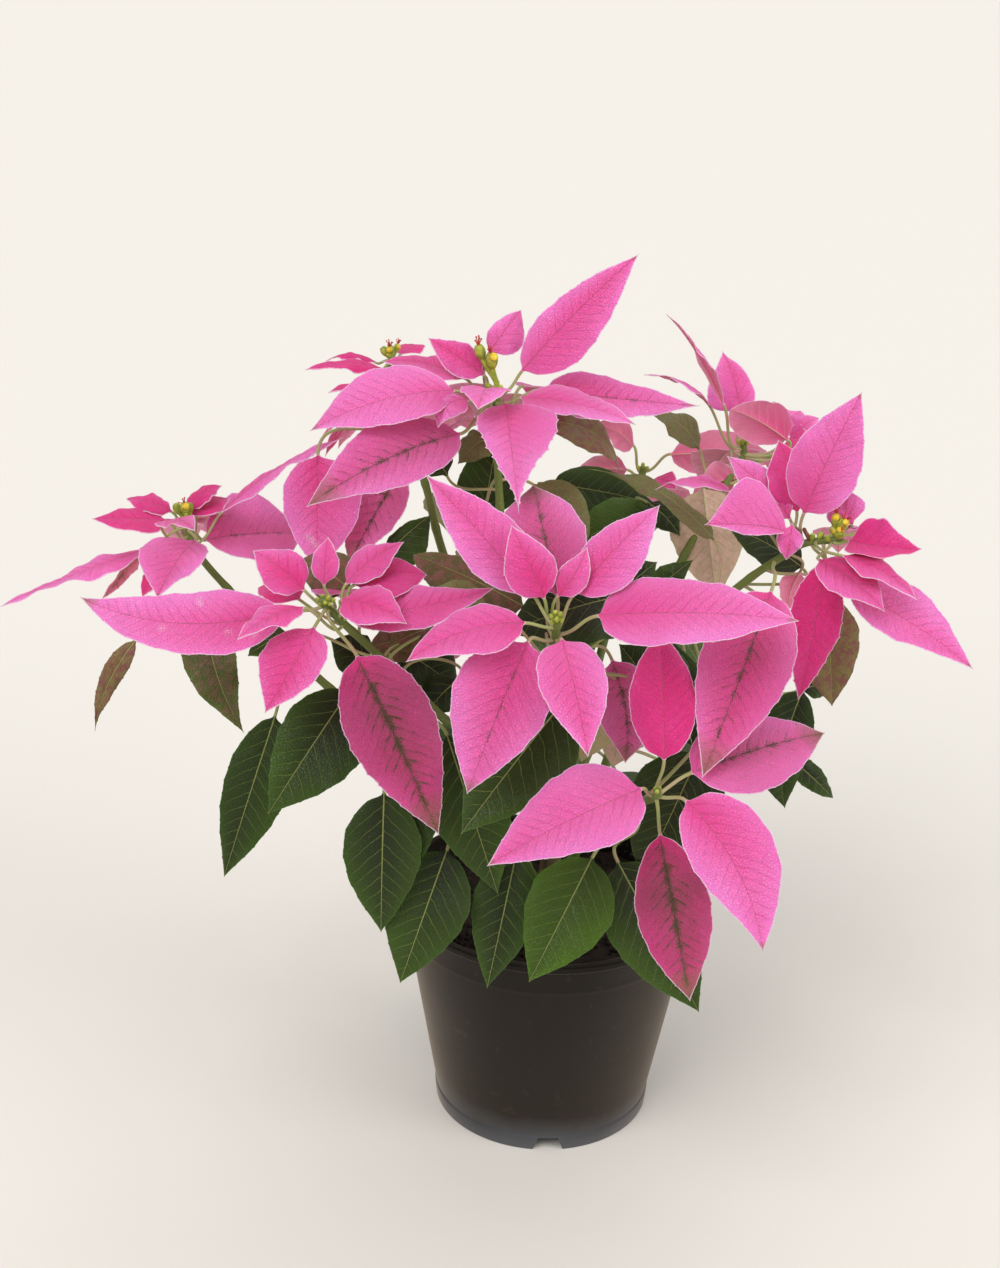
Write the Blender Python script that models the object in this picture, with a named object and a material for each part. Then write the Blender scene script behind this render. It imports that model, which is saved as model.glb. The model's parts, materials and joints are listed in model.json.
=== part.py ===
"""A pink poinsettia in a dark nursery pot.

Lengths are in metres with +Z up, +X to the right and +Y away from the front. The plant is built round the
axis of its pot, and then moved sideways so that the middle of its box stands over the origin. The foot of
the pot is on Z = 0.
"""

import bpy
import bmesh
import numpy as np

MM = 0.001

# Pot: a 17 cm nursery pot
POT_HEIGHT = 135 * MM
RIM_RADIUS = 85 * MM
RIM_BEVEL = 1 * MM
LIP_HEIGHT = 4 * MM
LIP_WIDTH = 3 * MM
BAND_HEIGHT = 21 * MM
BAND_STEP = 0.8 * MM
BAND_RISE = 1.2 * MM
WALL = 1.6 * MM
CONE_FOOT_STEP = 0.2 * MM
CONE_TOP_INSET = 2.2 * MM
FOOT_RADIUS = 61 * MM
FOOT_HEIGHT = 9.5 * MM
FOOT_STEP = 0.8 * MM
FOOT_BEVEL = 1 * MM
FOOT_WIDTH = 2.8 * MM
FLOOR_HEIGHT = 14 * MM
FLOOR_THICKNESS = 2 * MM
NOTCH_COUNT = 3
NOTCH_FOOT_WIDTH = 17 * MM
NOTCH_TOP_WIDTH = 11 * MM
NOTCH_HEIGHT = 8.5 * MM
FIRST_NOTCH = np.radians(-86.5)
DRAIN_COUNT = 6
DRAIN_RADIUS = 4.5 * MM
DRAIN_CIRCLE = 38 * MM
POT_STEPS = 48
DRAIN_STEPS = 16
CUTTER_PLAY = 5 * MM
CUTTER_REACH = 10 * MM

# Soil: peat filled to below the rim, a little higher in the middle
SOIL_DEPTH = 17 * MM
SOIL_CROWN = 3 * MM
SOIL_SHOULDER_RADIUS = 40 * MM
SOIL_SHOULDER_SHARE = 0.8
SOIL_STEPS = 24

# Stems, leaves and flower clusters
GAP = 0.3 * MM
STEM_GAP = 0.4 * MM
SOIL_GAP = 0.5 * MM
MAIN_STEM_RADIUS = 6 * MM
MAIN_STEM_TOP = 200 * MM
STEM_FLARE = 8 * MM
STEM_BEVEL = 2 * MM
STEM_WIDTHS = (1.35, 1.0, 1.0, 0.85)
BRANCH_FOOT_RADIUS = 3.2 * MM
BRANCH_TIP_RADIUS = 2.1 * MM
BRANCH_RUN_OUT = 10 * MM
BRANCH_RUN_UP = 5 * MM
STEM_SIDES = 8
STEM_STEPS = 14
PETIOLE_RADIUS = 1.2 * MM
FIRST_PETIOLE = 3 * MM
PETIOLE_SPACING = 2.4 * MM
BLADE_SHARES = (0, 0.07, 0.17, 0.29, 0.42, 0.56, 0.7, 0.84)
BLADE_THICKNESS = (1.2 * MM, 0.7 * MM, 0.3 * MM)
CLUSTER_RADIUS = 5.5 * MM
CLUSTER_RINGS = ((0, 0.45), (0.35, 0.85), (0.9, 1.0), (1.5, 0.85))
CLUSTER_TOP = 1.9
CLUSTER_SIDES = 12
CLUSTER_LOBES = 4
LOBE_DEPTH = 0.16

# Colours and finish of the real surfaces
POT_PLASTIC = ((0.038, 0.031, 0.028), 0.5)
PEAT = ((0.030, 0.019, 0.012), 0.95)
GREEN_STEM = ((0.13, 0.20, 0.05), 0.55)
WOODY_STEM = ((0.16, 0.13, 0.07), 0.75)
PINK_BRACT = ((0.80, 0.09, 0.33), 0.6)
GREEN_LEAF = ((0.045, 0.10, 0.025), 0.5)
GREEN_CUP = ((0.40, 0.45, 0.06), 0.45)

# Line of sight: a pixel of the 1000 x 1268 photograph and a depth give a point of the plant
EYE = np.array([-0.032, -1.116, 0.791])
PITCH = np.radians(24.2)
ROLL = np.radians(1.8)
FOCAL_PIXELS = 2290
MIDDLE_PIXEL = np.array([500, 634])
UP = np.array([0.0, 0.0, 1.0])

# Each flower head: the pixel of its branch tip, its depth behind the pot's axis in millimetres, and the
# length of its upright last stretch. The right one flowers on a long sideways shoot.
HEADS = {
    "top": ((497, 388), 20, 22),
    "top_left": ((392, 356), 100, 22),
    "far_left": ((190, 522), 20, 10),
    "left": ((325, 600), -90, 3),
    "front": ((557, 622), -120, 3),
    "right": ((838, 534), -22, 3),
    "back_right": ((743, 444), 80, 8),
    "back": ((643, 467), 150, 15),
    "low_right": ((657, 790), -140, 3),
}

# Each branch: the height at which it leaves the main stem, and the points that it passes, pixel and depth
BRANCHES = {
    "top": (193, [((506, 600), 6), ((499, 489), 16)]),
    "top_left": (178, [((447, 565), 60), ((424, 480), 85)]),
    "far_left": (160, [((400, 740), -8), ((325, 684), 5), ((220, 580), 16)]),
    "left": (146, [((470, 745), -50), ((440, 715), -65), ((378, 655), -82)]),
    "front": (176, [((550, 730), -60), ((552, 665), -100)]),
    "right": (164, [((640, 680), -4), ((730, 594), -14), ((783, 556), -20), ((806, 543), -21)]),
    "back_right": (190, [((620, 680), 35), ((678, 567), 55), ((716, 500), 70)]),
    "back": (168, [((610, 620), 90), ((646, 530), 135)]),
    "low_right": (144, [((600, 815), -70), ((640, 803), -112)]),
}


def unit(vector):
    return vector / np.linalg.norm(vector)


def seen_at(pixel, depth_mm):
    """The point where the line of sight through a pixel meets the upright plane at a depth behind the
    axis of the pot."""
    across, down = np.array(pixel) - MIDDLE_PIXEL
    right = across * np.cos(ROLL) + down * np.sin(ROLL)
    low = down * np.cos(ROLL) - across * np.sin(ROLL)
    ray = np.array([
        right,
        FOCAL_PIXELS * np.cos(PITCH) - low * np.sin(PITCH),
        -FOCAL_PIXELS * np.sin(PITCH) - low * np.cos(PITCH),
    ])
    return EYE + ray * (depth_mm * MM - EYE[1]) / ray[1]


def material(name, finish):
    colour, roughness = finish
    made = bpy.data.materials.new(name)
    made.use_nodes = True
    shader = made.node_tree.nodes["Principled BSDF"]
    shader.inputs["Base Color"].default_value = (*colour, 1)
    shader.inputs["Roughness"].default_value = roughness
    shader.inputs["Metallic"].default_value = 0
    made.diffuse_color = (*colour, 1)
    return made


def add_object(name, points, faces, finish):
    """A mesh object of the given points and faces, with its own material and its normals outward."""
    mesh = bpy.data.meshes.new(name)
    mesh.from_pydata([tuple(point) for point in points], [], faces)
    shaped = bmesh.new()
    shaped.from_mesh(mesh)
    bmesh.ops.recalc_face_normals(shaped, faces=shaped.faces)
    shaped.to_mesh(mesh)
    shaped.free()
    mesh.shade_smooth()
    mesh.set_sharp_from_angle(angle=np.radians(40))
    mesh.materials.append(material(name, finish))
    made = bpy.data.objects.new(name, mesh)
    bpy.context.collection.objects.link(made)
    return made


def loft(rings, point_end=None):
    """Points and faces of a closed skin over rings of equal length, with a flat start and a flat or
    pointed end."""
    count = len(rings[0])
    points = np.concatenate(rings)
    faces = []
    for ring in range(len(rings) - 1):
        for side in range(count):
            following = (side + 1) % count
            low, high = ring * count, (ring + 1) * count
            faces.append((low + side, low + following, high + following, high + side))
    faces.append(tuple(range(count))[::-1])
    last = (len(rings) - 1) * count
    if point_end is None:
        faces.append(tuple(range(last, last + count)))
    else:
        points = np.vstack([points, point_end])
        faces += [(last + side, last + (side + 1) % count, last + count) for side in range(count)]
    return points, faces


def turned(name, profile, steps, finish):
    """A solid of revolution about Z from a closed profile of (radius, height) points. A profile that
    starts and ends on the axis closes itself there."""
    shaped = bmesh.new()
    edge = [shaped.verts.new((radius, 0, height)) for radius, height in profile]
    pairs = list(zip(edge, edge[1:]))
    if profile[0][0] > 0:
        pairs.append((edge[-1], edge[0]))
    edges = [shaped.edges.new(pair) for pair in pairs]
    bmesh.ops.spin(
        shaped, geom=edge + edges, cent=(0, 0, 0), axis=(0, 0, 1), angle=2 * np.pi, steps=steps,
        use_merge=True,
    )
    bmesh.ops.remove_doubles(shaped, verts=shaped.verts, dist=0.00001)
    bmesh.ops.recalc_face_normals(shaped, faces=shaped.faces)
    mesh = bpy.data.meshes.new(name)
    shaped.to_mesh(mesh)
    shaped.free()
    mesh.shade_smooth()
    mesh.set_sharp_from_angle(angle=np.radians(40))
    mesh.materials.append(material(name, finish))
    made = bpy.data.objects.new(name, mesh)
    bpy.context.collection.objects.link(made)
    return made


def cutter(name, points, faces):
    made = add_object(name, points, faces, POT_PLASTIC)
    made.hide_render = True
    made.display_type = "WIRE"
    return made


def wall_radius(height):
    """Outer radius of the pot's cone between the foot and the band."""
    foot = FOOT_RADIUS + CONE_FOOT_STEP
    band = RIM_RADIUS - LIP_WIDTH - CONE_TOP_INSET
    low, high = FOOT_HEIGHT, POT_HEIGHT - BAND_HEIGHT
    return foot + (band - foot) * (height - low) / (high - low)


def pot():
    """A thin moulding: foot ring, cone, band, rolled lip and a raised floor with drain holes."""
    band = POT_HEIGHT - BAND_HEIGHT
    lip = POT_HEIGHT - LIP_HEIGHT
    upper = RIM_RADIUS - LIP_WIDTH
    floor_top = FLOOR_HEIGHT + FLOOR_THICKNESS
    profile = [
        (0, FLOOR_HEIGHT),
        (wall_radius(FLOOR_HEIGHT) - FOOT_WIDTH, FLOOR_HEIGHT),
        (FOOT_RADIUS - FOOT_WIDTH, 0),
        (FOOT_RADIUS, 0),
        (FOOT_RADIUS + FOOT_STEP, FOOT_HEIGHT - FOOT_BEVEL),
        (wall_radius(FOOT_HEIGHT), FOOT_HEIGHT),
        (wall_radius(band), band),
        (wall_radius(band) + BAND_STEP, band + BAND_RISE),
        (upper, lip),
        (RIM_RADIUS, lip),
        (RIM_RADIUS, POT_HEIGHT - RIM_BEVEL),
        (RIM_RADIUS - RIM_BEVEL, POT_HEIGHT),
        (upper - WALL, POT_HEIGHT),
        (upper - WALL, lip),
        (wall_radius(band) - WALL, band),
        (wall_radius(floor_top) - WALL, floor_top),
        (0, floor_top),
    ]
    made = turned("pot", profile, POT_STEPS, POT_PLASTIC)
    slant = (NOTCH_FOOT_WIDTH - NOTCH_TOP_WIDTH) / 2 / NOTCH_HEIGHT
    for notch in range(NOTCH_COUNT):
        angle = FIRST_NOTCH + notch * 2 * np.pi / NOTCH_COUNT
        outward = np.array([np.cos(angle), np.sin(angle), 0])
        across = np.array([-np.sin(angle), np.cos(angle), 0])
        low, high = NOTCH_FOOT_WIDTH / 2 + slant * CUTTER_PLAY, NOTCH_TOP_WIDTH / 2
        corners = [(-low, -CUTTER_PLAY), (low, -CUTTER_PLAY), (high, NOTCH_HEIGHT), (-high, NOTCH_HEIGHT)]
        rings = []
        for reach in (FOOT_RADIUS - CUTTER_REACH, FOOT_RADIUS + CUTTER_REACH):
            rings.append(np.array([outward * reach + across * wide + UP * tall for wide, tall in corners]))
        cut(made, cutter(f"notch_cutter_{notch + 1}", *loft(rings)))
    turn = (np.arange(DRAIN_STEPS) + 0.5) * 2 * np.pi / DRAIN_STEPS
    for drain in range(DRAIN_COUNT):
        angle = drain * 2 * np.pi / DRAIN_COUNT
        middle = DRAIN_CIRCLE * np.array([np.cos(angle), np.sin(angle), 0])
        ring = DRAIN_RADIUS * np.stack([np.cos(turn), np.sin(turn), 0 * turn], axis=1)
        heights = (FLOOR_HEIGHT - CUTTER_PLAY, FLOOR_HEIGHT + FLOOR_THICKNESS + CUTTER_PLAY)
        rings = [middle + ring + UP * height for height in heights]
        cut(made, cutter(f"drain_cutter_{drain + 1}", *loft(rings)))
    return made


def cut(target, tool):
    boolean = target.modifiers.new(tool.name, "BOOLEAN")
    boolean.operation = "DIFFERENCE"
    boolean.solver = "EXACT"
    boolean.object = tool


def soil():
    """The block of peat and roots inside the pot, with a slightly raised top."""
    low = FLOOR_HEIGHT + FLOOR_THICKNESS + GAP
    high = POT_HEIGHT - SOIL_DEPTH
    clearance = WALL + SOIL_GAP
    profile = [
        (0, low),
        (wall_radius(low) - clearance, low),
        (wall_radius(POT_HEIGHT - BAND_HEIGHT) - clearance, POT_HEIGHT - BAND_HEIGHT),
        (wall_radius(POT_HEIGHT - BAND_HEIGHT) - clearance, high),
        (SOIL_SHOULDER_RADIUS, high + SOIL_CROWN * SOIL_SHOULDER_SHARE),
        (0, high + SOIL_CROWN),
    ]
    return turned("soil", profile, SOIL_STEPS, PEAT)


def smooth_path(stops, steps):
    """Points spread evenly along one smooth curve through the stops."""
    stops = np.array(stops)
    ends = np.vstack([2 * stops[0] - stops[1], stops, 2 * stops[-1] - stops[-2]])
    pieces = []
    for before, start, end, after in zip(ends, ends[1:], ends[2:], ends[3:]):
        t = np.linspace(0, 1, 16, endpoint=False)[:, None]
        pieces.append(
            0.5 * (2 * start + (end - before) * t + (2 * before - 5 * start + 4 * end - after) * t**2
                   + (3 * start - before - 3 * end + after) * t**3)
        )
    fine = np.vstack([*pieces, stops[-1:]])
    length = np.concatenate([[0], np.cumsum(np.linalg.norm(np.diff(fine, axis=0), axis=1))])
    even = np.linspace(0, length[-1], steps)
    return np.stack([np.interp(even, length, fine[:, axis]) for axis in range(3)], axis=1)


def stem_ring(middle, along, radius):
    """A round section across a stem that runs along the given direction."""
    side = unit(np.cross(along, (0.0, 1.0, 0.0)))
    other = np.cross(side, along)
    turn = np.linspace(0, 2 * np.pi, STEM_SIDES, endpoint=False)
    return middle + radius * (np.outer(np.cos(turn), side) + np.outer(np.sin(turn), other))


def main_stem():
    """The short woody stem, which stands on the peat and was cut across at its top."""
    foot = POT_HEIGHT - SOIL_DEPTH + SOIL_CROWN + GAP
    heights = (foot, foot + STEM_FLARE, MAIN_STEM_TOP - STEM_BEVEL, MAIN_STEM_TOP)
    rings = [
        stem_ring(UP * height, UP, MAIN_STEM_RADIUS * wide) for height, wide in zip(heights, STEM_WIDTHS)
    ]
    return add_object("main_stem", *loft(rings), WOODY_STEM)


def branch_path(head):
    """The middle line of a branch, from beside the main stem to the flower head. Its last stretch is
    upright."""
    height, route = BRANCHES[head]
    stops = [seen_at(*stop) for stop in route]
    pixel, depth, upright_length = HEADS[head]
    tip = seen_at(pixel, depth)
    outward = unit((stops[0] if head != "top" else tip) * (1, 1, 0))
    foot = outward * (MAIN_STEM_RADIUS + STEM_GAP) + UP * height * MM
    run_out = foot + outward * BRANCH_RUN_OUT + UP * BRANCH_RUN_UP
    upright = tip - UP * upright_length * MM
    path = smooth_path([foot, run_out, *stops, upright], STEM_STEPS)
    return np.vstack([path, tip]), outward


def branch_radius(share):
    """Radius at a share of the way from the foot to the tip of a branch."""
    return BRANCH_FOOT_RADIUS + (BRANCH_TIP_RADIUS - BRANCH_FOOT_RADIUS) * share


def branch(head):
    path, outward = branch_path(head)
    along = np.gradient(path, axis=0)
    along[0] = outward
    along[-1] = UP
    share = np.linspace(0, 1, len(path))
    rings = [
        stem_ring(middle, unit(way), branch_radius(part)) for middle, way, part in zip(path, along, share)
    ]
    return add_object(f"{head}_branch", *loft(rings), GREEN_STEM)


def flower_cluster(head):
    """The cups at the middle of a head: a low round body with lobes, just above the branch tip."""
    tip = seen_at(*HEADS[head][:2])
    turn = np.linspace(0, 2 * np.pi, CLUSTER_SIDES, endpoint=False)
    lobes = 1 + LOBE_DEPTH * np.cos(CLUSTER_LOBES * turn)
    rings = []
    for height, wide in CLUSTER_RINGS:
        level = tip + UP * (GAP + CLUSTER_RADIUS * height)
        spread = CLUSTER_RADIUS * wide * lobes
        rings.append(level + np.stack([spread * np.cos(turn), spread * np.sin(turn), 0 * turn], axis=1))
    top = tip + UP * (GAP + CLUSTER_RADIUS * CLUSTER_TOP)
    return add_object(f"{head}_flower_cluster", *loft(rings, top), GREEN_CUP)


def blade_width(share, widest, rounded, drawn):
    """Half width of a blade at a share of its length, as a part of its greatest half width: it swells
    from the petiole, is widest at the given share and runs out to a drawn point."""
    swell = np.sin(np.pi / 2 * np.clip(share / widest, 0, 1)) ** rounded
    rest = np.clip((share - widest) / (1 - widest), 0, 1)
    return np.where(share < widest, swell, (1 - rest) ** drawn * (1 + drawn * rest))


def bow(start, start_pull, end_pull, end, share):
    """Points on a cubic curve between two ends with two pulling points."""
    t = np.asarray(share)[:, None]
    away = 1 - t
    return away**3 * start + 3 * away**2 * t * start_pull + 3 * away * t**2 * end_pull + t**3 * end


def facing(lean, side):
    """The way a blade faces: straight up, tilted by lean towards the front and by side to the right."""
    tilt, turn = np.radians(lean), np.radians(side)
    return np.array([np.sin(turn), -np.sin(tilt) * np.cos(turn), np.cos(tilt) * np.cos(turn)])


def petiole_root(head, foot, down):
    """Where a petiole grows out of its branch, and in which direction. Each new one grows a little lower."""
    path, _ = branch_path(head)
    count = GROWN.setdefault(head, 0)
    GROWN[head] += down is None
    from_tip = FIRST_PETIOLE + PETIOLE_SPACING * count if down is None else down * MM
    lengths = np.concatenate([[0], np.cumsum(np.linalg.norm(np.diff(path[::-1], axis=0), axis=1))])
    spots = (from_tip, from_tip + 1 * MM)
    root, ahead = (np.array([np.interp(at, lengths, path[::-1, axis]) for axis in range(3)]) for at in spots)
    along = unit(root - ahead)
    outward = unit((foot - root) - ((foot - root) @ along) * along)
    return root + outward * (branch_radius(1 - from_tip / lengths[-1]) + STEM_GAP), outward


def leaf(name, head, base, tip, reach, width, lean, side=0, arch=4, bend=0, fold=4, widest=0.36, rounded=0.62,
         drawn=1.2, belly=0, depth=None, down=None, colour=PINK_BRACT):
    """One leaf: a petiole from its branch, and a blade with a crease along its midrib.

    base and tip are where the blade starts and ends: pixels, or on the hidden side places from the foot of
    the pot's axis. depth is how far the base is behind the pot's axis, and reach how much further back the
    tip is. lean tilts the face from straight up towards the front, and side towards the right. arch lifts
    the middle of the midrib off its chord and bend moves it sideways. fold raises the edges, and belly
    widens the right half and narrows the left one. down is how far below the branch tip the petiole grows.
    Lengths are in millimetres and angles in degrees.
    """
    if len(base) == 3:
        foot, point = np.array(base) * MM, np.array(tip) * MM
    else:
        if depth is None:
            start = np.linalg.norm(np.subtract(base, HEADS[head][0]))
            run = np.linalg.norm(np.subtract(tip, base))
            depth = HEADS[head][1] + min(start / run, 1) * reach
        foot, point = seen_at(base, depth), seen_at(tip, depth + reach)
    chord = unit(point - foot)
    face = facing(lean, side)
    face = unit(face - (face @ chord) * chord)
    pull = (face * arch + np.cross(chord, face) * bend) * MM * 4 / 3
    share = np.array(BLADE_SHARES)
    rib = bow(foot, foot + (point - foot) / 3 + pull, foot + (point - foot) * 2 / 3 + pull, point, share)

    root, outward = petiole_root(head, foot, down)
    gone = np.linalg.norm(foot - root)
    first_way = unit(rib[1] - rib[0])
    stalk = bow(root, root + outward * 0.4 * gone, foot - first_way * 0.35 * gone, foot, (0, 0.33, 0.67))

    middle = np.vstack([stalk, rib, point])
    way = np.gradient(middle, axis=0)
    way[0] = outward
    half = np.full(len(middle), PETIOLE_RADIUS)
    thick = np.full(len(middle), PETIOLE_RADIUS)
    blade = slice(len(stalk), len(stalk) + len(share))
    half[blade] = np.maximum(PETIOLE_RADIUS, blade_width(share, widest, rounded, drawn) * width / 2 * MM)
    thick[blade] = np.interp(share, (0, 0.3, 1), BLADE_THICKNESS)
    lift = np.tan(np.radians(fold)) * (half - PETIOLE_RADIUS)
    rings = []
    for spot in range(len(middle) - 1):
        ahead = unit(way[spot])
        up = unit(face - (face @ ahead) * ahead)
        right = np.cross(ahead, up) * half[spot]
        rise = up * lift[spot]
        more, less = (1 + belly, 1 - belly) if spot >= len(stalk) else (1, 1)
        rings.append(middle[spot] + np.array([
            right * more + rise, up * thick[spot], -right * less + rise, -up * thick[spot]
        ]))
    return add_object(name, *loft(rings, point), colour)


def top_bracts():
    leaf("top_bract_up_right", "top", (522, 371), (639, 254), 15, 31, 60, belly=0.2, bend=-1, widest=0.32)
    leaf("top_bract_left", "top", (454, 391), (310, 431), -25, 40, 30, arch=8, belly=0.06)
    leaf("top_bract_low_left", "top", (460, 434), (306, 507), -45, 42, 35, arch=8, belly=0.05)
    leaf("top_bract_front", "top", (505, 404), (519, 514), -82, 41, 30, widest=0.22, drawn=2.0, belly=-0.22)
    leaf("top_bract_right", "top", (544, 390), (700, 406), 25, 27, 44, widest=0.24, drawn=1.4, bend=3)


def left_bracts():
    leaf("top_left_bract_front", "top_left", (318, 455), (318, 568), -20, 42, 60, depth=40, down=40,
         rounded=0.5, drawn=1.0, belly=-0.12)
    leaf("far_left_bract_long", "far_left", (149, 549), (0, 607), -35, 19, -3, arch=5, bend=-8)
    leaf("far_left_bract_front", "far_left", (195, 541), (157, 598), -45, 36, 15, widest=0.35, rounded=0.5,
         belly=0.25)
    leaf("far_left_bract_right", "far_left", (205, 540), (302, 535), 45, 46, 45, widest=0.5, belly=-0.15)
    leaf("left_bract_long", "left", (283, 612), (80, 597), 10, 39, 32, bend=-14, widest=0.32, rounded=0.55)
    leaf("left_bract_low", "left", (314, 628), (265, 713), -35, 33, 20, widest=0.4, bend=-2, belly=0.1)
    leaf("left_bract_hanging", "left", (357, 656), (439, 835), -25, 45, 60, side=10, rounded=0.5)


def front_bracts():
    leaf("front_bract_left", "front", (525, 623), (406, 662), -20, 32, 20, belly=-0.1, rounded=0.55, bend=3)
    leaf("front_bract_up_left", "front", (531, 592), (425, 474), 30, 31, 55, belly=0.04, widest=0.34,
         drawn=1.35)
    leaf("front_bract_up", "front", (557, 595), (533, 485), 66, 46, 60, belly=-0.12, widest=0.45)
    leaf("front_bract_up_right", "front", (574, 594), (660, 505), 25, 28, 50, belly=0.15)
    leaf("front_bract_right", "front", (598, 616), (799, 621), -10, 42, 28, rounded=0.48, widest=0.3,
         drawn=1.1)
    leaf("front_bract_down", "front", (562, 640), (588, 757), -45, 33, 20, rounded=0.42, widest=0.34)
    leaf("front_bract_down_left", "front", (528, 642), (467, 794), -35, 47, 40, belly=0.05, rounded=0.5)
    leaf("low_right_bract_up", "low_right", (664, 760), (660, 628), 45, 33, 40, rounded=0.5, widest=0.42,
         depth=-129, down=12)
    leaf("low_right_bract_right", "low_right", (691, 773), (825, 733), 45, 44, 35, belly=0.05, rounded=0.5)
    leaf("low_right_bract_down_right", "low_right", (686, 801), (763, 952), -40, 42, 40, rounded=0.5, bend=-6,
         belly=-0.1)
    leaf("low_right_bract_hanging", "low_right", (660, 834), (690, 1001), -10, 37, 80, widest=0.42)
    leaf("low_right_bract_left", "low_right", (641, 789), (487, 866), -35, 46, 30, belly=0.05, widest=0.3,
         rounded=0.5)


def right_bracts():
    leaf("right_bract_up", "right", (804, 513), (862, 392), 10, 37, 75, side=-20, depth=-18, down=20,
         rounded=0.5)
    leaf("right_bract_low", "right", (850, 590), (973, 669), -30, 36, 25, depth=-32, down=10, widest=0.32,
         belly=-0.15)
    leaf("right_bract_hanging", "right", (771, 592), (702, 778), -65, 46, 60, depth=-70, down=38, rounded=0.5)
    leaf("back_right_bract_edge", "back_right", (724, 405), (666, 314), -10, 30, -18, side=50, fold=12,
         bend=10)
    leaf("back_bract_far", "back", (670, 454), (782, 462), 10, 32, -75)


def green_leaf(name, head, *places, **shape):
    leaf(name, head, *places, colour=GREEN_LEAF, **shape)


def front_leaves():
    """The large leaves lower on the branches."""
    green_leaf("left_leaf_outer", "far_left", (275, 716), (224, 877), -15, 35, 70, depth=-22, down=95,
               belly=-0.12)
    green_leaf("left_leaf_inner", "left", (350, 690), (268, 814), -30, 44, 60, depth=-70, down=50,
               belly=-0.12)
    green_leaf("rim_leaf_far_left", "left", (384, 793), (381, 932), -12, 40, 70, depth=-88, down=80)
    green_leaf("rim_leaf_left", "left", (447, 850), (400, 983), -20, 43, 60, depth=-80, down=95)
    green_leaf("front_leaf_large", "front", (565, 700), (461, 834), -40, 50, 50, depth=-98, down=70)
    green_leaf("rim_leaf_front", "low_right", (592, 858), (529, 982), -30, 45, 60, depth=-84, down=60,
               belly=-0.05)
    green_leaf("rim_leaf_right", "low_right", (618, 862), (699, 1012), -20, 46, 65, depth=-80, down=45)
    green_leaf("right_leaf", "right", (803, 690), (785, 808), 10, 34, 70, depth=25, down=60, bend=6,
               belly=0.15)


def back_leaves():
    """Leaves that hang over the back of the rim, where the view from the front doesn't reach."""
    green_leaf("back_leaf_left", "top_left", (-58, 92, 176), (-86, 142, 96), 0, 48, -58, down=95, arch=8)
    green_leaf("back_leaf_middle", "back", (8, 112, 188), (2, 166, 98), 0, 50, -62, down=90, arch=8)
    green_leaf("back_leaf_right", "back_right", (66, 96, 200), (98, 138, 112), 0, 48, -58, side=20, down=100,
               arch=8)


def centre_over_origin():
    """Moves everything sideways so that the middle of the whole box is over the origin."""
    bpy.context.view_layer.update()
    corners = np.array([
        made.matrix_world @ vertex.co for made in bpy.data.objects for vertex in made.data.vertices
        if not made.hide_render
    ])
    middle = (corners.min(axis=0) + corners.max(axis=0)) / 2
    for made in bpy.data.objects:
        made.location.x -= middle[0]
        made.location.y -= middle[1]


for old in list(bpy.data.objects):
    bpy.data.objects.remove(old, do_unlink=True)
GROWN = {}
pot()
soil()
main_stem()
for each_head in HEADS:
    branch(each_head)
    if each_head != "back":
        flower_cluster(each_head)
top_bracts()
left_bracts()
front_bracts()
right_bracts()
front_leaves()
back_leaves()
centre_over_origin()
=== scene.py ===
# %% [markdown]
# # A pink poinsettia in a dark nursery pot
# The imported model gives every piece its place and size. This file gives them their looks: thin veined
# blades in place of flat wedges, a moulded pot, loose peat, and flower cups with glands and stamens.
# Lengths in the tables are millimetres, and Blender works in metres, so MM turns one into the other.

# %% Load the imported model
import json
from functools import partial
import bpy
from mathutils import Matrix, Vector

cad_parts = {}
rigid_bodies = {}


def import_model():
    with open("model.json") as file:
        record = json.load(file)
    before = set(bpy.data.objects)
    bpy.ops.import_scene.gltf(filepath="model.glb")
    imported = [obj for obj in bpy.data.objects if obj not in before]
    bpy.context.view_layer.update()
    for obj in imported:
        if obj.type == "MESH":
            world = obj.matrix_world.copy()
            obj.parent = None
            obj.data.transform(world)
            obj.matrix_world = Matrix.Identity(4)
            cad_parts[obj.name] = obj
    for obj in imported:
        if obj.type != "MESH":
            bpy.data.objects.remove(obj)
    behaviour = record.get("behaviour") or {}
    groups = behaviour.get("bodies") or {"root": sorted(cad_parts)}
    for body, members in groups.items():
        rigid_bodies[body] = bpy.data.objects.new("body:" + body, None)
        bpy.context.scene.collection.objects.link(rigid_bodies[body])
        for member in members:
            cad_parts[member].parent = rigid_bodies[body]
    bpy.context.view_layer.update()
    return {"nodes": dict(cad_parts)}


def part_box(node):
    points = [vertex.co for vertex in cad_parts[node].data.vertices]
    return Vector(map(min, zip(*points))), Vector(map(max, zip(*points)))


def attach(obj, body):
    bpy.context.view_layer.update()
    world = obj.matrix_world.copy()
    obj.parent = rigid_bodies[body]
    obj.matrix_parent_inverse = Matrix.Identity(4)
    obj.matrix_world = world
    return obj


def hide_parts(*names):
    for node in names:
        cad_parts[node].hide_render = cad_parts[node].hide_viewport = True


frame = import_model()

from types import SimpleNamespace

import bpy
import numpy as np
from mathutils import Matrix

MM = 0.001
pot_low, pot_high = (np.array(corner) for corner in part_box("pot"))
POT_AXIS = (pot_low + pot_high) / 2 * (1, 1, 0)
print("nodes:", len(frame["nodes"]), " pot axis:", POT_AXIS.round(4))

# %% [markdown]
# ## The camera
# A camera is a point, a tilt and a focal length. The plant's own places are found through the same
# camera: a pixel gives a line of sight, and a depth behind the pot's axis gives one point on it. So the
# camera comes first, and everything that grows is placed with seen_at.

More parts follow.
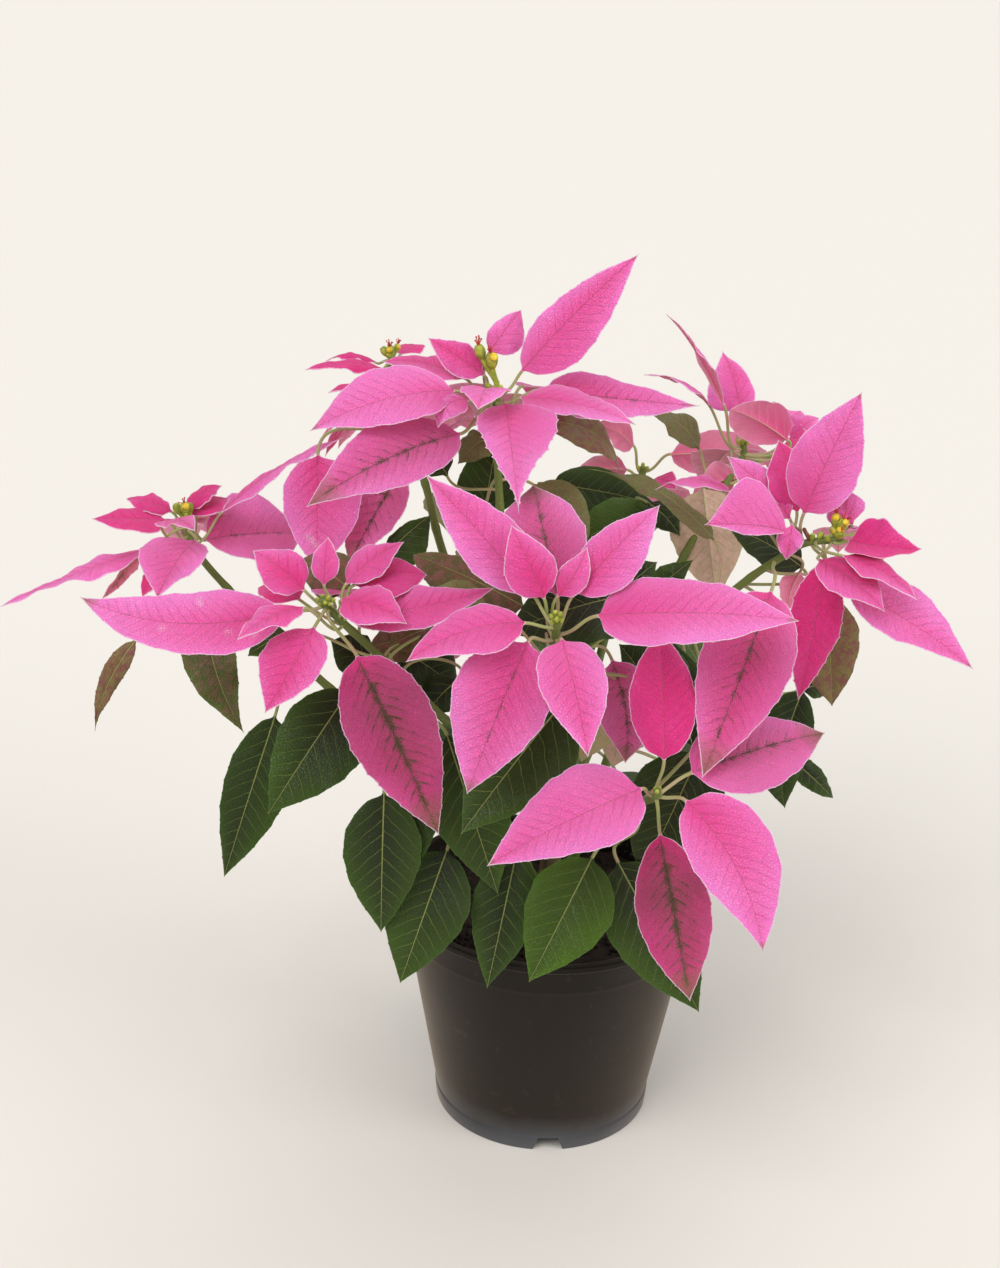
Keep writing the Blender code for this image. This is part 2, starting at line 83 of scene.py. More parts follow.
# %% Line of sight
PHOTO_WIDTH, PHOTO_HEIGHT = 1000, 1268
FOCAL_PIXELS = 2290
PITCH = np.radians(24.2)
ROLL = np.radians(1.8)
EYE = np.array([-0.032, -1.116, 0.791]) + POT_AXIS
SENSOR = 36
UP = np.array([0.0, 0.0, 1.0])
AHEAD = np.array([0.0, np.cos(PITCH), -np.sin(PITCH)])
LEVEL = np.array([1.0, 0.0, 0.0])
BELOW = np.array([0.0, -np.sin(PITCH), -np.cos(PITCH)])


def seen_at(pixel, depth_mm):
    """The point where the line of sight through a pixel meets the upright plane at a depth behind the
    axis of the pot: eye + ray * (plane - eye) / ray, measured along Y."""
    across, down = np.subtract(pixel, (PHOTO_WIDTH / 2, PHOTO_HEIGHT / 2))
    right = across * np.cos(ROLL) + down * np.sin(ROLL)
    low = down * np.cos(ROLL) - across * np.sin(ROLL)
    ray = FOCAL_PIXELS * AHEAD + right * LEVEL + low * BELOW
    return EYE + ray * (POT_AXIS[1] + depth_mm * MM - EYE[1]) / ray[1]


camera = bpy.data.objects.new("camera", bpy.data.cameras.new("camera"))
bpy.context.collection.objects.link(camera)
camera.data.sensor_width = SENSOR
camera.data.lens = FOCAL_PIXELS / PHOTO_HEIGHT * SENSOR
turn = np.eye(4)
turn[:3, 0] = np.cos(ROLL) * LEVEL - np.sin(ROLL) * BELOW
turn[:3, 1] = -np.sin(ROLL) * LEVEL - np.cos(ROLL) * BELOW
turn[:3, 2] = -AHEAD
turn[:3, 3] = EYE
camera.matrix_world = Matrix(turn.tolist())
bpy.context.scene.camera = camera
bpy.context.scene.view_settings.view_transform = "Standard"
print("lens:", round(camera.data.lens, 1), "mm, eye:", EYE.round(3))

# %% [markdown]
# ## Colours and nodes
# Colours are written as the sRGB hex values that a maker reads off a colour card. Shaders count light
# linearly, so one function converts them. Another adds a node with its settings and links.


# %% Colour and node helpers
def linear(code):
    """Linear RGBA of an sRGB hex colour: each channel c becomes ((c + 0.055) / 1.055) ** 2.4, or c / 12.92
    near black."""
    channels = np.array([int(code[at : at + 2], 16) / 255 for at in (1, 3, 5)])
    bright = ((channels + 0.055) / 1.055) ** 2.4
    return (*np.where(channels <= 0.04045, channels / 12.92, bright).tolist(), 1.0)


def feed(shader, inputs):
    """Gives inputs of a shader node, by number or name, a plain value, a hex colour, or a link from an
    output socket or from another node's first output."""
    for name, value in inputs.items():
        source = value.outputs[0] if isinstance(value, bpy.types.Node) else value
        if isinstance(source, bpy.types.NodeSocket):
            shader.id_data.links.new(source, shader.inputs[name])
        else:
            shader.inputs[name].default_value = linear(source) if isinstance(source, str) else source


def node(tree, kind, *values, **named):
    """Adds a shader node. The values go to its inputs in order. A name with a capital is one more input,
    and a name without one is a setting."""
    made = tree.nodes.new("ShaderNode" + kind)
    for name in filter(str.islower, named):
        setattr(made, name, named[name])
    feed(made, {**dict(enumerate(values)), **{name: named[name] for name in named if not name.islower()}})
    return made


def new_material(name):
    """A material with one Principled shader, as (material, a function that adds a node to it, shader)."""
    made = bpy.data.materials.new(name)
    made.use_nodes = True
    return made, partial(node, made.node_tree), made.node_tree.nodes["Principled BSDF"]


def layered(add, base, *layers):
    """A colour with others laid over it in turn. Each layer is (mask, strength, colour)."""
    colour = base
    for mask, strength, over in layers:
        share = add("Math", mask, strength, operation="MULTIPLY", use_clamp=True)
        colour = add("MixRGB", share, colour, over)
    return colour


def relief(add, distance_mm, *heights):
    """A bump from masks and their weights. A weight above 0 stands proud and one below 0 is a groove."""
    total = 0.0
    for mask, weight in heights:
        total = add("Math", mask, weight, total, operation="MULTIPLY_ADD")
    return add("Bump", Height=total, Distance=distance_mm * MM)


# %% [markdown]
# ## Veins
# A poinsettia's side veins leave the midrib at about 57 degrees and sweep on towards the tip. The blades
# below carry a UV map that counts in vein spacings: along the midrib and out from it. A vein then lies
# wherever the swept coordinate is a whole number, on the mesh and in the shader alike. Between the side
# veins runs a fine net, which a Voronoi texture's cell edges draw.

# %% Vein lines
VEIN_SLOPE = 0.75
VEIN_SWEEP = 0.08
VEIN_STAGGER = 0.35
VEIN_WANDER = 0.35
NET_CELLS = 4.6
BLADE_VALUES = ("rim", "thin", "tone", "olive", "blush", "sap")


def swept(along, out):
    """The vein number at a place: along - slope * |out| - sweep * out squared, and a stagger on the left."""
    away = np.abs(out)
    return along - VEIN_SLOPE * away - VEIN_SWEEP * away**2 + VEIN_STAGGER * (out < 0)


def vein_number(add, place):
    """The shader's own swept coordinate, which wanders a little, and the distance out from the midrib."""
    parts = add("SeparateXYZ", place)
    away = add("Math", parts.outputs[1], operation="ABSOLUTE")
    left = add("Math", parts.outputs[1], 0.0, operation="LESS_THAN")
    wander = add("TexNoise", Vector=place, Scale=0.9, Detail=2.0)
    slope = add("Math", away, -VEIN_SWEEP, -VEIN_SLOPE, operation="MULTIPLY_ADD")
    number = add("Math", away, slope, parts.outputs[0], operation="MULTIPLY_ADD")
    number = add("Math", left, VEIN_STAGGER, number, operation="MULTIPLY_ADD")
    return add("Math", wander, VEIN_WANDER, number, operation="MULTIPLY_ADD"), away


def vein_pattern(add):
    """Masks from 0 to 1 for a blade: side veins, midrib, fine net, pale edge, and what age adds to them."""
    place = add("UVMap", uv_map="veins")
    number, away = vein_number(add, place)
    given = {name: add("Attribute", attribute_name=name).outputs["Fac"] for name in BLADE_VALUES}
    gap = add("Math", number, 0.5, operation="PINGPONG")
    line = add("MapRange", gap, 0.01, 0.055, 1.0, 0.0, interpolation_type="SMOOTHSTEP")
    inner = add("MapRange", given["rim"], 0.5, 5.0)
    faint = add("MapRange", away, 0.0, 3.0, 1.0, 0.35)
    side = add("Math", line, inner, operation="MULTIPLY")
    rib = add("Math", away, given["thin"], operation="MULTIPLY")
    cells = add("TexVoronoi", Vector=place, Scale=NET_CELLS, feature="DISTANCE_TO_EDGE")
    fuzz = add("TexNoise", Vector=place, Scale=9.0, Detail=4.0, Roughness=0.75)
    flecks = add("MapRange", fuzz, 0.5, 0.56)
    spread = add("TexCoord").outputs["Object"]
    blotch = add("TexNoise", Vector=spread, Scale=45.0, Detail=3.0)
    mottle = add("TexNoise", Vector=place, Scale=1.1, Detail=5.0, Roughness=0.8)
    return {
        **given,
        "side": add("Math", side, faint, operation="MULTIPLY"),
        "rib": add("MapRange", rib, 0.03, 0.08, 1.0, 0.0, interpolation_type="SMOOTHSTEP"),
        "net": add("MapRange", cells, 0.0, 0.16, 1.0, 0.0, interpolation_type="SMOOTHSTEP"),
        "edge": add("MapRange", given["rim"], 0.15, 0.6, 1.0, 0.0),
        "fuzz": fuzz,
        "sap": add("Math", flecks, given["sap"], operation="MULTIPLY"),
        "blotch": add("MapRange", blotch, 0.35, 0.65),
        "mottle": add("MapRange", mottle, 0.46, 0.57),
        **ageing(add, place, number, away, fuzz, given),
    }


# %% [markdown]
# ## Signs of age
# As a bract ages, olive green comes back along its veins in ragged feathers, a dull halo spreads round
# its midrib, and its tip dries to tan. These marks could be painted on, leaf by leaf. Here they are
# distances from the nearest vein, made uneven by noise, so one value for each leaf ages all of it.

# %% Signs of age
def ageing(add, place, number, away, fuzz, given):
    """Masks for an old blade: olive feathering near the midrib and near the side veins by it, broken up by a
    stipple, a dull halo round the midrib, and a tan tip."""
    stipple = add("MapRange", fuzz, 0.35, 0.65)
    torn = add("Math", fuzz, 0.32, number, operation="MULTIPLY_ADD")
    torn = add("Math", torn, 0.5, operation="PINGPONG")
    by_vein = add("Math", away, 0.2, operation="MULTIPLY")
    by_vein = add("Math", torn, 2.4, by_vein, operation="MULTIPLY_ADD")
    by_rib = add("Math", away, 1.2, operation="MULTIPLY")
    near = add("Math", by_vein, by_rib, operation="MINIMUM")
    near = add("Math", stipple, 0.8, near, operation="MULTIPLY_ADD")
    patchy = add("TexNoise", Vector=place, Scale=0.8, Detail=1.0)
    patchy = add("MapRange", patchy, 0.35, 0.65, -0.22, 0.16)
    near = add("Math", near, patchy, operation="ADD")
    young = add("Math", given["olive"], -0.7, 0.7, operation="MULTIPLY_ADD")
    near = add("Math", near, young, operation="ADD")
    feather = add("MapRange", near, 0.64, 0.7, 1.0, 0.0)
    begun = add("Math", given["olive"], 2.5, operation="MULTIPLY", use_clamp=True)
    halo = add("MapRange", away, 0.0, 2.4, 1.0, 0.0, interpolation_type="SMOOTHSTEP")
    old = add("Math", given["olive"], 3.0, operation="POWER")
    tan = add("Math", stipple, 0.5, operation="ADD")
    return {
        "old": old,
        "feather": add("Math", feather, begun, operation="MULTIPLY"),
        "halo": add("Math", halo, old, operation="MULTIPLY"),
        "tan": add("Math", tan, given["blush"], operation="MULTIPLY"),
    }


# %% [markdown]
# ## Bract skin
# Bracts are coloured leaves: a soft waxy skin over pink sap. Light comes a little way through them and
# glances off fine hairs, so the shader has some subsurface scattering and a faint sheen over a
# half-matte coat. The upper side is vivid with slightly deeper veins and a pale edge, and older bracts
# turn olive along the midrib. The underside is dusty, with proud pale veins.

# %% Bract materials
LEAF_IOR = 1.43
PINK_FLESH = {"Subsurface Weight": 0.4, "Subsurface Radius": (1.0, 0.25, 0.5), "Subsurface Scale": 1.2 * MM}


def bract_upper():
    """Upper skin of a bract: vivid pink, deeper in the veins, pale at the edge, olive where it has aged."""
    made, add, skin = new_material("bract_upper_skin")
    mask = vein_pattern(add)
    grainy = add("MapRange", mask["fuzz"], 0.45, 0.7)
    grainy = add("Math", grainy, mask["tone"], operation="MULTIPLY")
    colour = layered(
        add, add("MixRGB", mask["tone"], "#DE1A7A", "#FF84D0"),
        (mask["old"], 0.85, "#86364F"),
        (mask["blotch"], 0.25, "#EE44A4"),
        (grainy, 0.5, "#FFA8DE"),
        (mask["net"], 0.24, "#D83F98"),
        (mask["side"], 0.28, "#C8327A"),
        (mask["rib"], 0.5, "#C06078"),
        (mask["halo"], 0.55, "#96485A"),
        (mask["feather"], 0.94, "#4A3C18"),
        (mask["tan"], 0.85, "#7E6240"),
        (mask["edge"], 0.85, "#FBD2E6"),
        (mask["sap"], 1.0, "#F4E4EE"),
    )
    heights = (mask["net"], -0.5), (mask["side"], -0.7), (mask["rib"], -0.5), (mask["fuzz"], 0.5)
    bump = relief(add, 0.6, *heights)
    rough = add("MapRange", mask["fuzz"], 0.0, 1.0, 0.40, 0.54)
    feed(skin, {"Base Color": colour, "Roughness": rough, "Normal": bump, "IOR": LEAF_IOR, **PINK_FLESH})
    feed(skin, {"Sheen Weight": 0.12, "Sheen Roughness": 0.5})
    return made


def bract_under():
    """Underside of a bract: dusty and paler, with proud veins."""
    made, add, skin = new_material("bract_under_skin")
    mask = vein_pattern(add)
    colour = layered(
        add, add("MixRGB", mask["tone"], "#DC4A8A", "#FFAECA"),
        (mask["blotch"], 0.3, "#E07AA0"),
        (mask["net"], 0.2, "#C86488"),
        (mask["olive"], 0.3, "#C49A80"),
        (mask["side"], 0.5, "#DDA69C"),
        (mask["rib"], 0.9, "#CDB488"),
        (mask["feather"], 0.8, "#7C6E40"),
        (mask["edge"], 0.5, "#EBBBD2"),
    )
    bump = relief(add, 0.25, (mask["net"], 0.3), (mask["side"], 1.0), (mask["rib"], 1.0))
    feed(skin, {"Base Color": colour, "Roughness": 0.7, "Normal": bump, "IOR": LEAF_IOR, **PINK_FLESH})
    feed(skin, {"Sheen Weight": 0.15})
    return made


# %% [markdown]
# ## Green skin
# The lower leaves are chlorophyll green with a leathery skin, smoother than the bracts, so they shine a
# little more. Their veins are yellow-green lines. Leaves between the two kinds are mottled with brown
# and pink, which the blush value lays on in patches.

# %% Green leaf materials
GREEN_FLESH = {"Subsurface Weight": 0.12, "Subsurface Radius": (0.35, 0.9, 0.2), "Subsurface Scale": 1.0 * MM}


def green_upper():
    """Upper skin of a green leaf: dark green with pale veins, and brown-pink patches where it blushes."""
    made, add, skin = new_material("green_upper_skin")
    mask = vein_pattern(add)
    patch = add("Math", mask["mottle"], mask["blush"], operation="MULTIPLY")
    warm = add("Math", mask["blush"], 6.0, operation="POWER")
    colour = layered(
        add, add("MixRGB", mask["tone"], "#1A2406", "#4E7010"),
        (mask["blotch"], 0.25, "#2E400F"),
        (mask["olive"], 0.85, "#868052"),
        (mask["net"], 0.3, "#1A2508"),
        (warm, 0.9, "#98764E"),
        (patch, 1.2, "#82504A"),
        (mask["side"], 0.5, "#84944A"),
        (mask["rib"], 0.75, "#A0A862"),
        (mask["edge"], 0.35, "#55703A"),
    )
    bump = relief(add, 0.4, (mask["net"], -0.4), (mask["side"], -0.8), (mask["rib"], -0.8))
    rough = add("MapRange", mask["fuzz"], 0.0, 1.0, 0.36, 0.50)
    feed(skin, {"Base Color": colour, "Roughness": rough, "Normal": bump, "IOR": LEAF_IOR, **GREEN_FLESH})
    feed(skin, {"Specular IOR Level": 0.36})
    return made


def green_under():
    """Underside of a green leaf: paler and greyer, with proud pale veins."""
    made, add, skin = new_material("green_under_skin")
    mask = vein_pattern(add)
    patch = add("Math", mask["mottle"], mask["blush"], operation="MULTIPLY")
    colour = layered(
        add, add("MixRGB", mask["tone"], "#4C6138", "#7A9A45"),
        (mask["net"], 0.3, "#465C34"),
        (mask["olive"], 0.8, "#A89C62"),
        (mask["blush"], 0.9, "#E4BCAE"),
        (patch, 0.35, "#9A8A58"),
        (mask["side"], 0.6, "#A9B57E"),
        (mask["rib"], 0.9, "#BCC48C"),
        (mask["edge"], 0.5, "#93A873"),
    )
    bump = relief(add, 0.3, (mask["net"], 0.3), (mask["side"], 1.0), (mask["rib"], 1.0))
    feed(skin, {"Base Color": colour, "Roughness": 0.62, "Normal": bump, "IOR": LEAF_IOR, **GREEN_FLESH})
    return made


# %% [markdown]
# ## Stalks and stems
# Leaf stalks are smooth and pale, between green and pink. The branches are green and slightly waxy, and
# the short main stem is bark with fine grooves. All of them are patterned along their length.


# %% Stem materials
def stalk_skin():
    """Skin of a leaf stalk: pale green that turns pink in patches."""
    made, add, skin = new_material("stalk_skin")
    patch = add("TexNoise", Vector=add("TexCoord").outputs["Object"], Scale=60.0, Detail=2.0)
    tone = add("Attribute", attribute_name="tone").outputs["Fac"]
    body = add("MixRGB", tone, "#8F9C58", "#B4A878")
    colour = add("MixRGB", add("MapRange", patch, 0.4, 0.7), body, "#A88C72")
    feed(skin, {"Base Color": colour, "Roughness": 0.45, "IOR": LEAF_IOR})
    feed(skin, {"Subsurface Weight": 0.1, "Subsurface Radius": (1.0, 0.8, 0.4), "Subsurface Scale": 1.0 * MM})
    return made


def branch_skin():
    """Skin of a young branch: fresh green, with paler dots of cork."""
    made, add, skin = new_material("branch_skin")
    place = add("TexCoord").outputs["Object"]
    cloud = add("TexNoise", Vector=place, Scale=40.0, Detail=3.0)
    dots = add("TexVoronoi", Vector=place, Scale=420.0)
    dots = add("MapRange", dots, 0.12, 0.22, 1.0, 0.0)
    colour = layered(add, "#54642A", (cloud, 0.6, "#7A8438"), (dots, 0.35, "#9A9C66"))
    bump = relief(add, 0.2, (dots, 0.5), (cloud, 0.4))
    feed(skin, {"Base Color": colour, "Roughness": 0.5, "Normal": bump, "IOR": LEAF_IOR})
    return made


def bark():
    """Bark of the main stem: grey-brown with grooves that run up it."""
    made, add, skin = new_material("bark")
    stretched = add("Mapping", Vector=add("TexCoord").outputs["Object"], Scale=(1.0, 1.0, 0.15))
    groove = add("TexNoise", Vector=stretched, Scale=420.0, Detail=4.0, Roughness=0.65)
    colour = layered(add, "#6E5B3C", (add("MapRange", groove, 0.35, 0.6, 1.0, 0.0), 0.8, "#3F3424"))
    feed(skin, {"Base Color": colour, "Roughness": 0.8, "Normal": relief(add, 0.6, (groove, 1.0))})
    return made


def plain_skin(name, dark, light, roughness):
    """A small part's skin: a cloudy mix of two colours."""
    made, add, skin = new_material(name)
    cloud = add("TexNoise", Vector=add("TexCoord").outputs["Object"], Scale=400.0, Detail=2.0)
    colour = add("MixRGB", add("MapRange", cloud, 0.35, 0.65), dark, light)
    feed(skin, {"Base Color": colour, "Roughness": roughness, "IOR": LEAF_IOR})
    return made


# %% [markdown]
# ## Pot and peat materials
# The pot is injection-moulded polypropylene, made from recycled stock: nearly black, matte, with a brown
# cast and fine scuffs. Dust and lime have dried on its foot and inside its rim, and a warm reflection is
# painted on its lower wall. Peat is crumbly and takes the light without any shine.

# %% Pot and peat materials
PLASTIC_IOR = 1.49
DUST_REACH = 32 * MM
# Height above the foot over which the painted warm reflection fades out
WARM_REFLECTION_REACH = 90 * MM


def moulded_plastic(foot_top, peat_top):
    """Dark moulded plastic with a dusty foot and splashes inside the rim, both placed by height. A painted
    warm reflection lightens the wall towards the foot.
    """
    made, add, skin = new_material("moulded_plastic")
    place = add("TexCoord").outputs["Object"]
    height = add("SeparateXYZ", place).outputs[2]
    cloud = add("TexNoise", Vector=place, Scale=18.0, Detail=4.0)
    grain = add("TexNoise", Vector=place, Scale=900.0, Detail=2.0)
    scuff = add("TexNoise", Vector=place, Scale=130.0, Detail=5.0)
    scuff = add("MapRange", scuff, 0.62, 0.8)
    ragged = add("Math", cloud, 0.03, height, operation="MULTIPLY_ADD")
    dust = add("MapRange", ragged, foot_top, foot_top + DUST_REACH, 1.0, 0.0)
    # Painted warm reflection: a lighter warm brown on the lower wall, strongest at the foot
    worn = add("MapRange", ragged, foot_top, foot_top + WARM_REFLECTION_REACH, 1.0, 0.0)
    inside = add("Attribute", attribute_name="inside").outputs["Fac"]
    above = add("MapRange", height, peat_top, peat_top + 3 * MM)
    splash = add("TexNoise", Vector=place, Scale=260.0, Detail=4.0)
    splash = add("MapRange", splash, 0.55, 0.62)
    splash = add("Math", splash, inside, operation="MULTIPLY")
    splash = add("Math", splash, above, operation="MULTIPLY")
    colour = layered(
        add, "#100D0B",
        (cloud, 0.7, "#1A1511"),
        (scuff, 0.2, "#5A5048"),
        # painted warm reflection, lighter towards the foot
        (worn, 0.4, "#2E2620"),
        (dust, 0.8, "#62666C"),
        (splash, 0.7, "#8A8272"),
    )
    rough = add("MapRange", cloud, 0.3, 0.7, 0.38, 0.52)
    bump = relief(add, 0.04, (grain, 0.5), (scuff, 0.3))
    feed(skin, {"Base Color": colour, "Roughness": rough, "Normal": bump, "IOR": PLASTIC_IOR})
    feed(skin, {"Specular IOR Level": 0.14})
    feed(skin, {"Sheen Weight": 0.9, "Sheen Roughness": 0.42, "Sheen Tint": "#A89886"})
    return made


def peat():
    """Damp peat: near-black brown with lighter fibres, and fully matte."""
    made, add, skin = new_material("peat")
    place = add("TexCoord").outputs["Object"]
    clod = add("TexNoise", Vector=place, Scale=160.0, Detail=6.0)
    fibre = add("TexNoise", Vector=place, Scale=700.0, Detail=3.0)
    colour = layered(
        add, "#1C1510",
        (add("MapRange", clod, 0.4, 0.65), 0.7, "#35281C"),
        (add("MapRange", fibre, 0.62, 0.72), 0.35, "#6A543C"),
    )
    bump = relief(add, 1.0, (clod, 1.0), (fibre, 0.5))
    feed(skin, {"Base Color": colour, "Roughness": 0.95, "Normal": bump})
    return made


STALK = stalk_skin()
BLADES = {"bract": [bract_upper(), bract_under(), STALK], "green": [green_upper(), green_under(), STALK]}
BRANCH = branch_skin()
BARK = bark()
CUP = plain_skin("cup_skin", "#7E8E2C", "#B2B444", 0.4)
GLAND = plain_skin("gland_wax", "#C8A018", "#E6CE3C", 0.25)
STAMEN = plain_skin("stamen_skin", "#A02228", "#C8442E", 0.5)
SCAR = plain_skin("scar_cork", "#5A2E22", "#8A5A3E", 0.7)
PEAT = peat()
print("materials:", len(bpy.data.materials))

# %% [markdown]
# ## Skins over rings
# All that grows here is a closed tube: rings of points carried along a path. Neighbouring rings give
# quads, and each end is closed with a row of quads between opposite points, so there are no poles. A
# blade is such a tube pressed flat, which keeps its stalk and its skin one surface.


# %% Mesh helpers
def unit(vectors):
    """Vectors of length 1 along the last axis."""
    return vectors / np.linalg.norm(vectors, axis=-1, keepdims=True)


def skin_over(rings):
    """Points and quads of a closed tube over an array of rings (ring, point, 3). Quads face out where the
    rings turn from across towards the normal of a path that runs ahead."""
    count, around = rings.shape[:2]
    index = np.arange(count * around).reshape(count, around)
    here, after = index[:-1], index[1:]
    side = np.stack([here, np.roll(here, -1, 1), np.roll(after, -1, 1), after], axis=-1).reshape(-1, 4)
    top, low = index[:, : around // 2], index[:, ::-1][:, : around // 2]
    start = np.stack([top[0, :-1], low[0, :-1], low[0, 1:], top[0, 1:]], axis=-1)
    end = np.stack([top[-1, :-1], top[-1, 1:], low[-1, 1:], low[-1, :-1]], axis=-1)
    return rings.reshape(-1, 3), np.vstack([side, start, end])


def add_piece(name, parts, materials, node_name=None, sharp=50):
    """One mesh object at the origin, made of parts. A part is a dict of points, faces, a material number
    for each face and named values for each point. It rides on the root body and may stand for a node."""
    first = np.cumsum([0] + [len(part["points"]) for part in parts])
    points = np.vstack([part["points"] for part in parts])
    faces = np.vstack([part["faces"] + start for part, start in zip(parts, first)])
    worn = np.concatenate([np.broadcast_to(part.get("worn", 0), len(part["faces"])) for part in parts])
    mesh = bpy.data.meshes.new(name)
    mesh.vertices.add(len(points))
    mesh.vertices.foreach_set("co", points.astype(np.float32).ravel())
    mesh.loops.add(faces.size)
    mesh.loops.foreach_set("vertex_index", faces.astype(np.int32).ravel())
    mesh.polygons.add(len(faces))
    mesh.polygons.foreach_set("loop_start", np.arange(0, faces.size, 4, dtype=np.int32))
    mesh.update(calc_edges=True)
    for each in materials:
        mesh.materials.append(each)
    mesh.polygons.foreach_set("material_index", worn.astype(np.int32))
    for key in parts[0].get("values", {}):
        found = np.concatenate([part["values"][key] for part in parts])
        if found.ndim == 2:
            spread = mesh.uv_layers.new(name=key)
            spread.uv.foreach_set("vector", found[faces.ravel()].astype(np.float32).ravel())
        else:
            mesh.attributes.new(key, "FLOAT", "POINT").data.foreach_set("value", found.astype(np.float32))
    mesh.shade_smooth()
    mesh.set_sharp_from_angle(angle=np.radians(sharp))
    made = bpy.data.objects.new(name, mesh)
    bpy.context.collection.objects.link(made)
    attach(made, "root")
    if node_name:
        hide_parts(node_name)
    return made


def smooth_path(stops, steps):
    """Points spread evenly along one smooth curve through the stops. Between two stops the curve is a
    cubic whose slope at each stop is half the step between its neighbours."""
    stops = np.array(stops)
    ends = np.vstack([2 * stops[0] - stops[1], stops, 2 * stops[-1] - stops[-2]])
    before, start, end, after = (ends[at : len(ends) - 3 + at, None] for at in range(4))
    t = np.linspace(0, 1, 24, endpoint=False)[None, :, None]
    fine = 0.5 * (
        2 * start + (end - before) * t + (2 * before - 5 * start + 4 * end - after) * t**2
        + (3 * start - before - 3 * end + after) * t**3
    )
    fine = np.vstack([fine.reshape(-1, 3), stops[-1:]])
    return along_path(fine, np.linspace(0, 1, steps))


def along_path(path, shares):
    """Points at shares of the length of a path."""
    length = np.concatenate([[0], np.cumsum(np.linalg.norm(np.diff(path, axis=0), axis=1))])
    return np.stack([np.interp(shares * length[-1], length, path[:, axis]) for axis in range(3)], axis=1)


def bow(start, start_pull, end_pull, end, share):
    """Points on a cubic curve between two ends with two pulling points."""
    t = np.asarray(share)[:, None]
    near_start = (1 - t) ** 3 * start + 3 * (1 - t) ** 2 * t * start_pull
    return near_start + 3 * (1 - t) * t**2 * end_pull + t**3 * end


def round_rings(path, radius, sides, across=(0.0, 1.0, 0.0)):
    """Rings of a round tube: each point is path + radius * (cos * right + sin * up), where right is square
    to the path and to a fixed direction."""
    way = unit(np.gradient(path, axis=0))
    right = unit(np.cross(way, across))
    up = np.cross(right, way)
    turn = np.pi - (np.arange(sides) + 0.5) * 2 * np.pi / sides
    section = np.cos(turn)[None, :, None] * right[:, None] + np.sin(turn)[None, :, None] * up[:, None]
    return path[:, None] + np.reshape(radius, (-1, 1, 1)) * section


def rough_field(places, seed, finest_mm):
    """Smooth uneven heights from -1 to 1: a sum of plane waves with random directions, whose lengths run
    from twelve times the finest down to it and whose heights follow their length."""
    luck = np.random.default_rng(seed)
    lengths = finest_mm * MM * 12 ** luck.random(24)
    ways = unit(luck.normal(size=(24, 3))) * 2 * np.pi / lengths[:, None]
    waves = np.sin(places @ ways.T + luck.random(24) * 2 * np.pi)
    return waves @ lengths / np.sqrt((lengths**2).sum()) / 1.5


# %% [markdown]
# ## The pot
# A nursery pot is one thin moulding: a foot ring with notches that let water out, a cone, a band below a
# small rolled lip, and a raised floor with holes. Its outline is turned round the axis with softened
# corners. The notches and holes are then cut through it, because a turned surface can't have them.

# %% Pot and its outline
POT_HEIGHT = pot_high[2]
RIM_RADIUS = (pot_high[0] - pot_low[0]) / 2
LIP_HEIGHT = 4 * MM
LIP_WIDTH = 3 * MM
BAND_HEIGHT = 21 * MM
BAND_STEP = 0.5 * MM
WALL = 1.6 * MM
FOOT_RADIUS = 61 * MM
FOOT_HEIGHT = 9.5 * MM
FOOT_STEP = 0.8 * MM
FOOT_WIDTH = 2.8 * MM
FLOOR_HEIGHT = 14 * MM
FLOOR_THICKNESS = 2 * MM
NOTCH_COUNT = 3
NOTCH_FOOT_WIDTH = 17 * MM
NOTCH_TOP_WIDTH = 11 * MM
NOTCH_HEIGHT = 8.5 * MM
DRAIN_COUNT = 6
DRAIN_RADIUS = 4.5 * MM
DRAIN_CIRCLE = 38 * MM
PEAT_TOP = POT_HEIGHT - 17 * MM
POT_STEPS = 192
POT_SHARP_ANGLE = 35
FIRST_NOTCH = np.radians(-86.5)


def wall_radius(height):
    """Outer radius of the cone at a height, on a straight line between the foot and the band."""
    heights = (FOOT_HEIGHT, POT_HEIGHT - BAND_HEIGHT)
    return np.interp(height, heights, (FOOT_RADIUS + 0.2 * MM, RIM_RADIUS - LIP_WIDTH - 2.2 * MM))


def softened(outline, radius, steps=4):
    """An outline with each corner replaced by a short curve: points (1-t)^2 a + 2t(1-t) corner + t^2 b,
    where a and b lie a radius before and after the corner."""
    before, after = np.roll(outline, 1, 0) - outline, np.roll(outline, -1, 0) - outline
    lengths = np.stack([np.linalg.norm(before, axis=1), np.linalg.norm(after, axis=1)])
    reach = np.minimum(radius, 0.4 * lengths)
    a = (outline + unit(before) * reach[0][:, None])[:, None]
    b = (outline + unit(after) * reach[1][:, None])[:, None]
    t = np.linspace(0, 1, steps)[None, :, None]
    return ((1 - t) ** 2 * a + 2 * t * (1 - t) * outline[:, None] + t**2 * b).reshape(-1, 2)


def turned(outline, steps):
    """Points and quads of a closed outline of (radius, height) turned round the pot's axis."""
    angle = np.arange(steps) * 2 * np.pi / steps
    ring = np.stack([np.cos(angle), np.sin(angle), 0 * angle], axis=-1)
    points = outline[None, :, :1] * ring[:, None] + outline[None, :, 1:] * UP + POT_AXIS
    index = np.arange(steps * len(outline)).reshape(steps, len(outline))
    after, beside = np.roll(index, -1, 0), np.roll(index, -1, 1)
    faces = np.stack([index, after, np.roll(after, -1, 1), beside], axis=-1).reshape(-1, 4)
    return points.reshape(-1, 3), faces


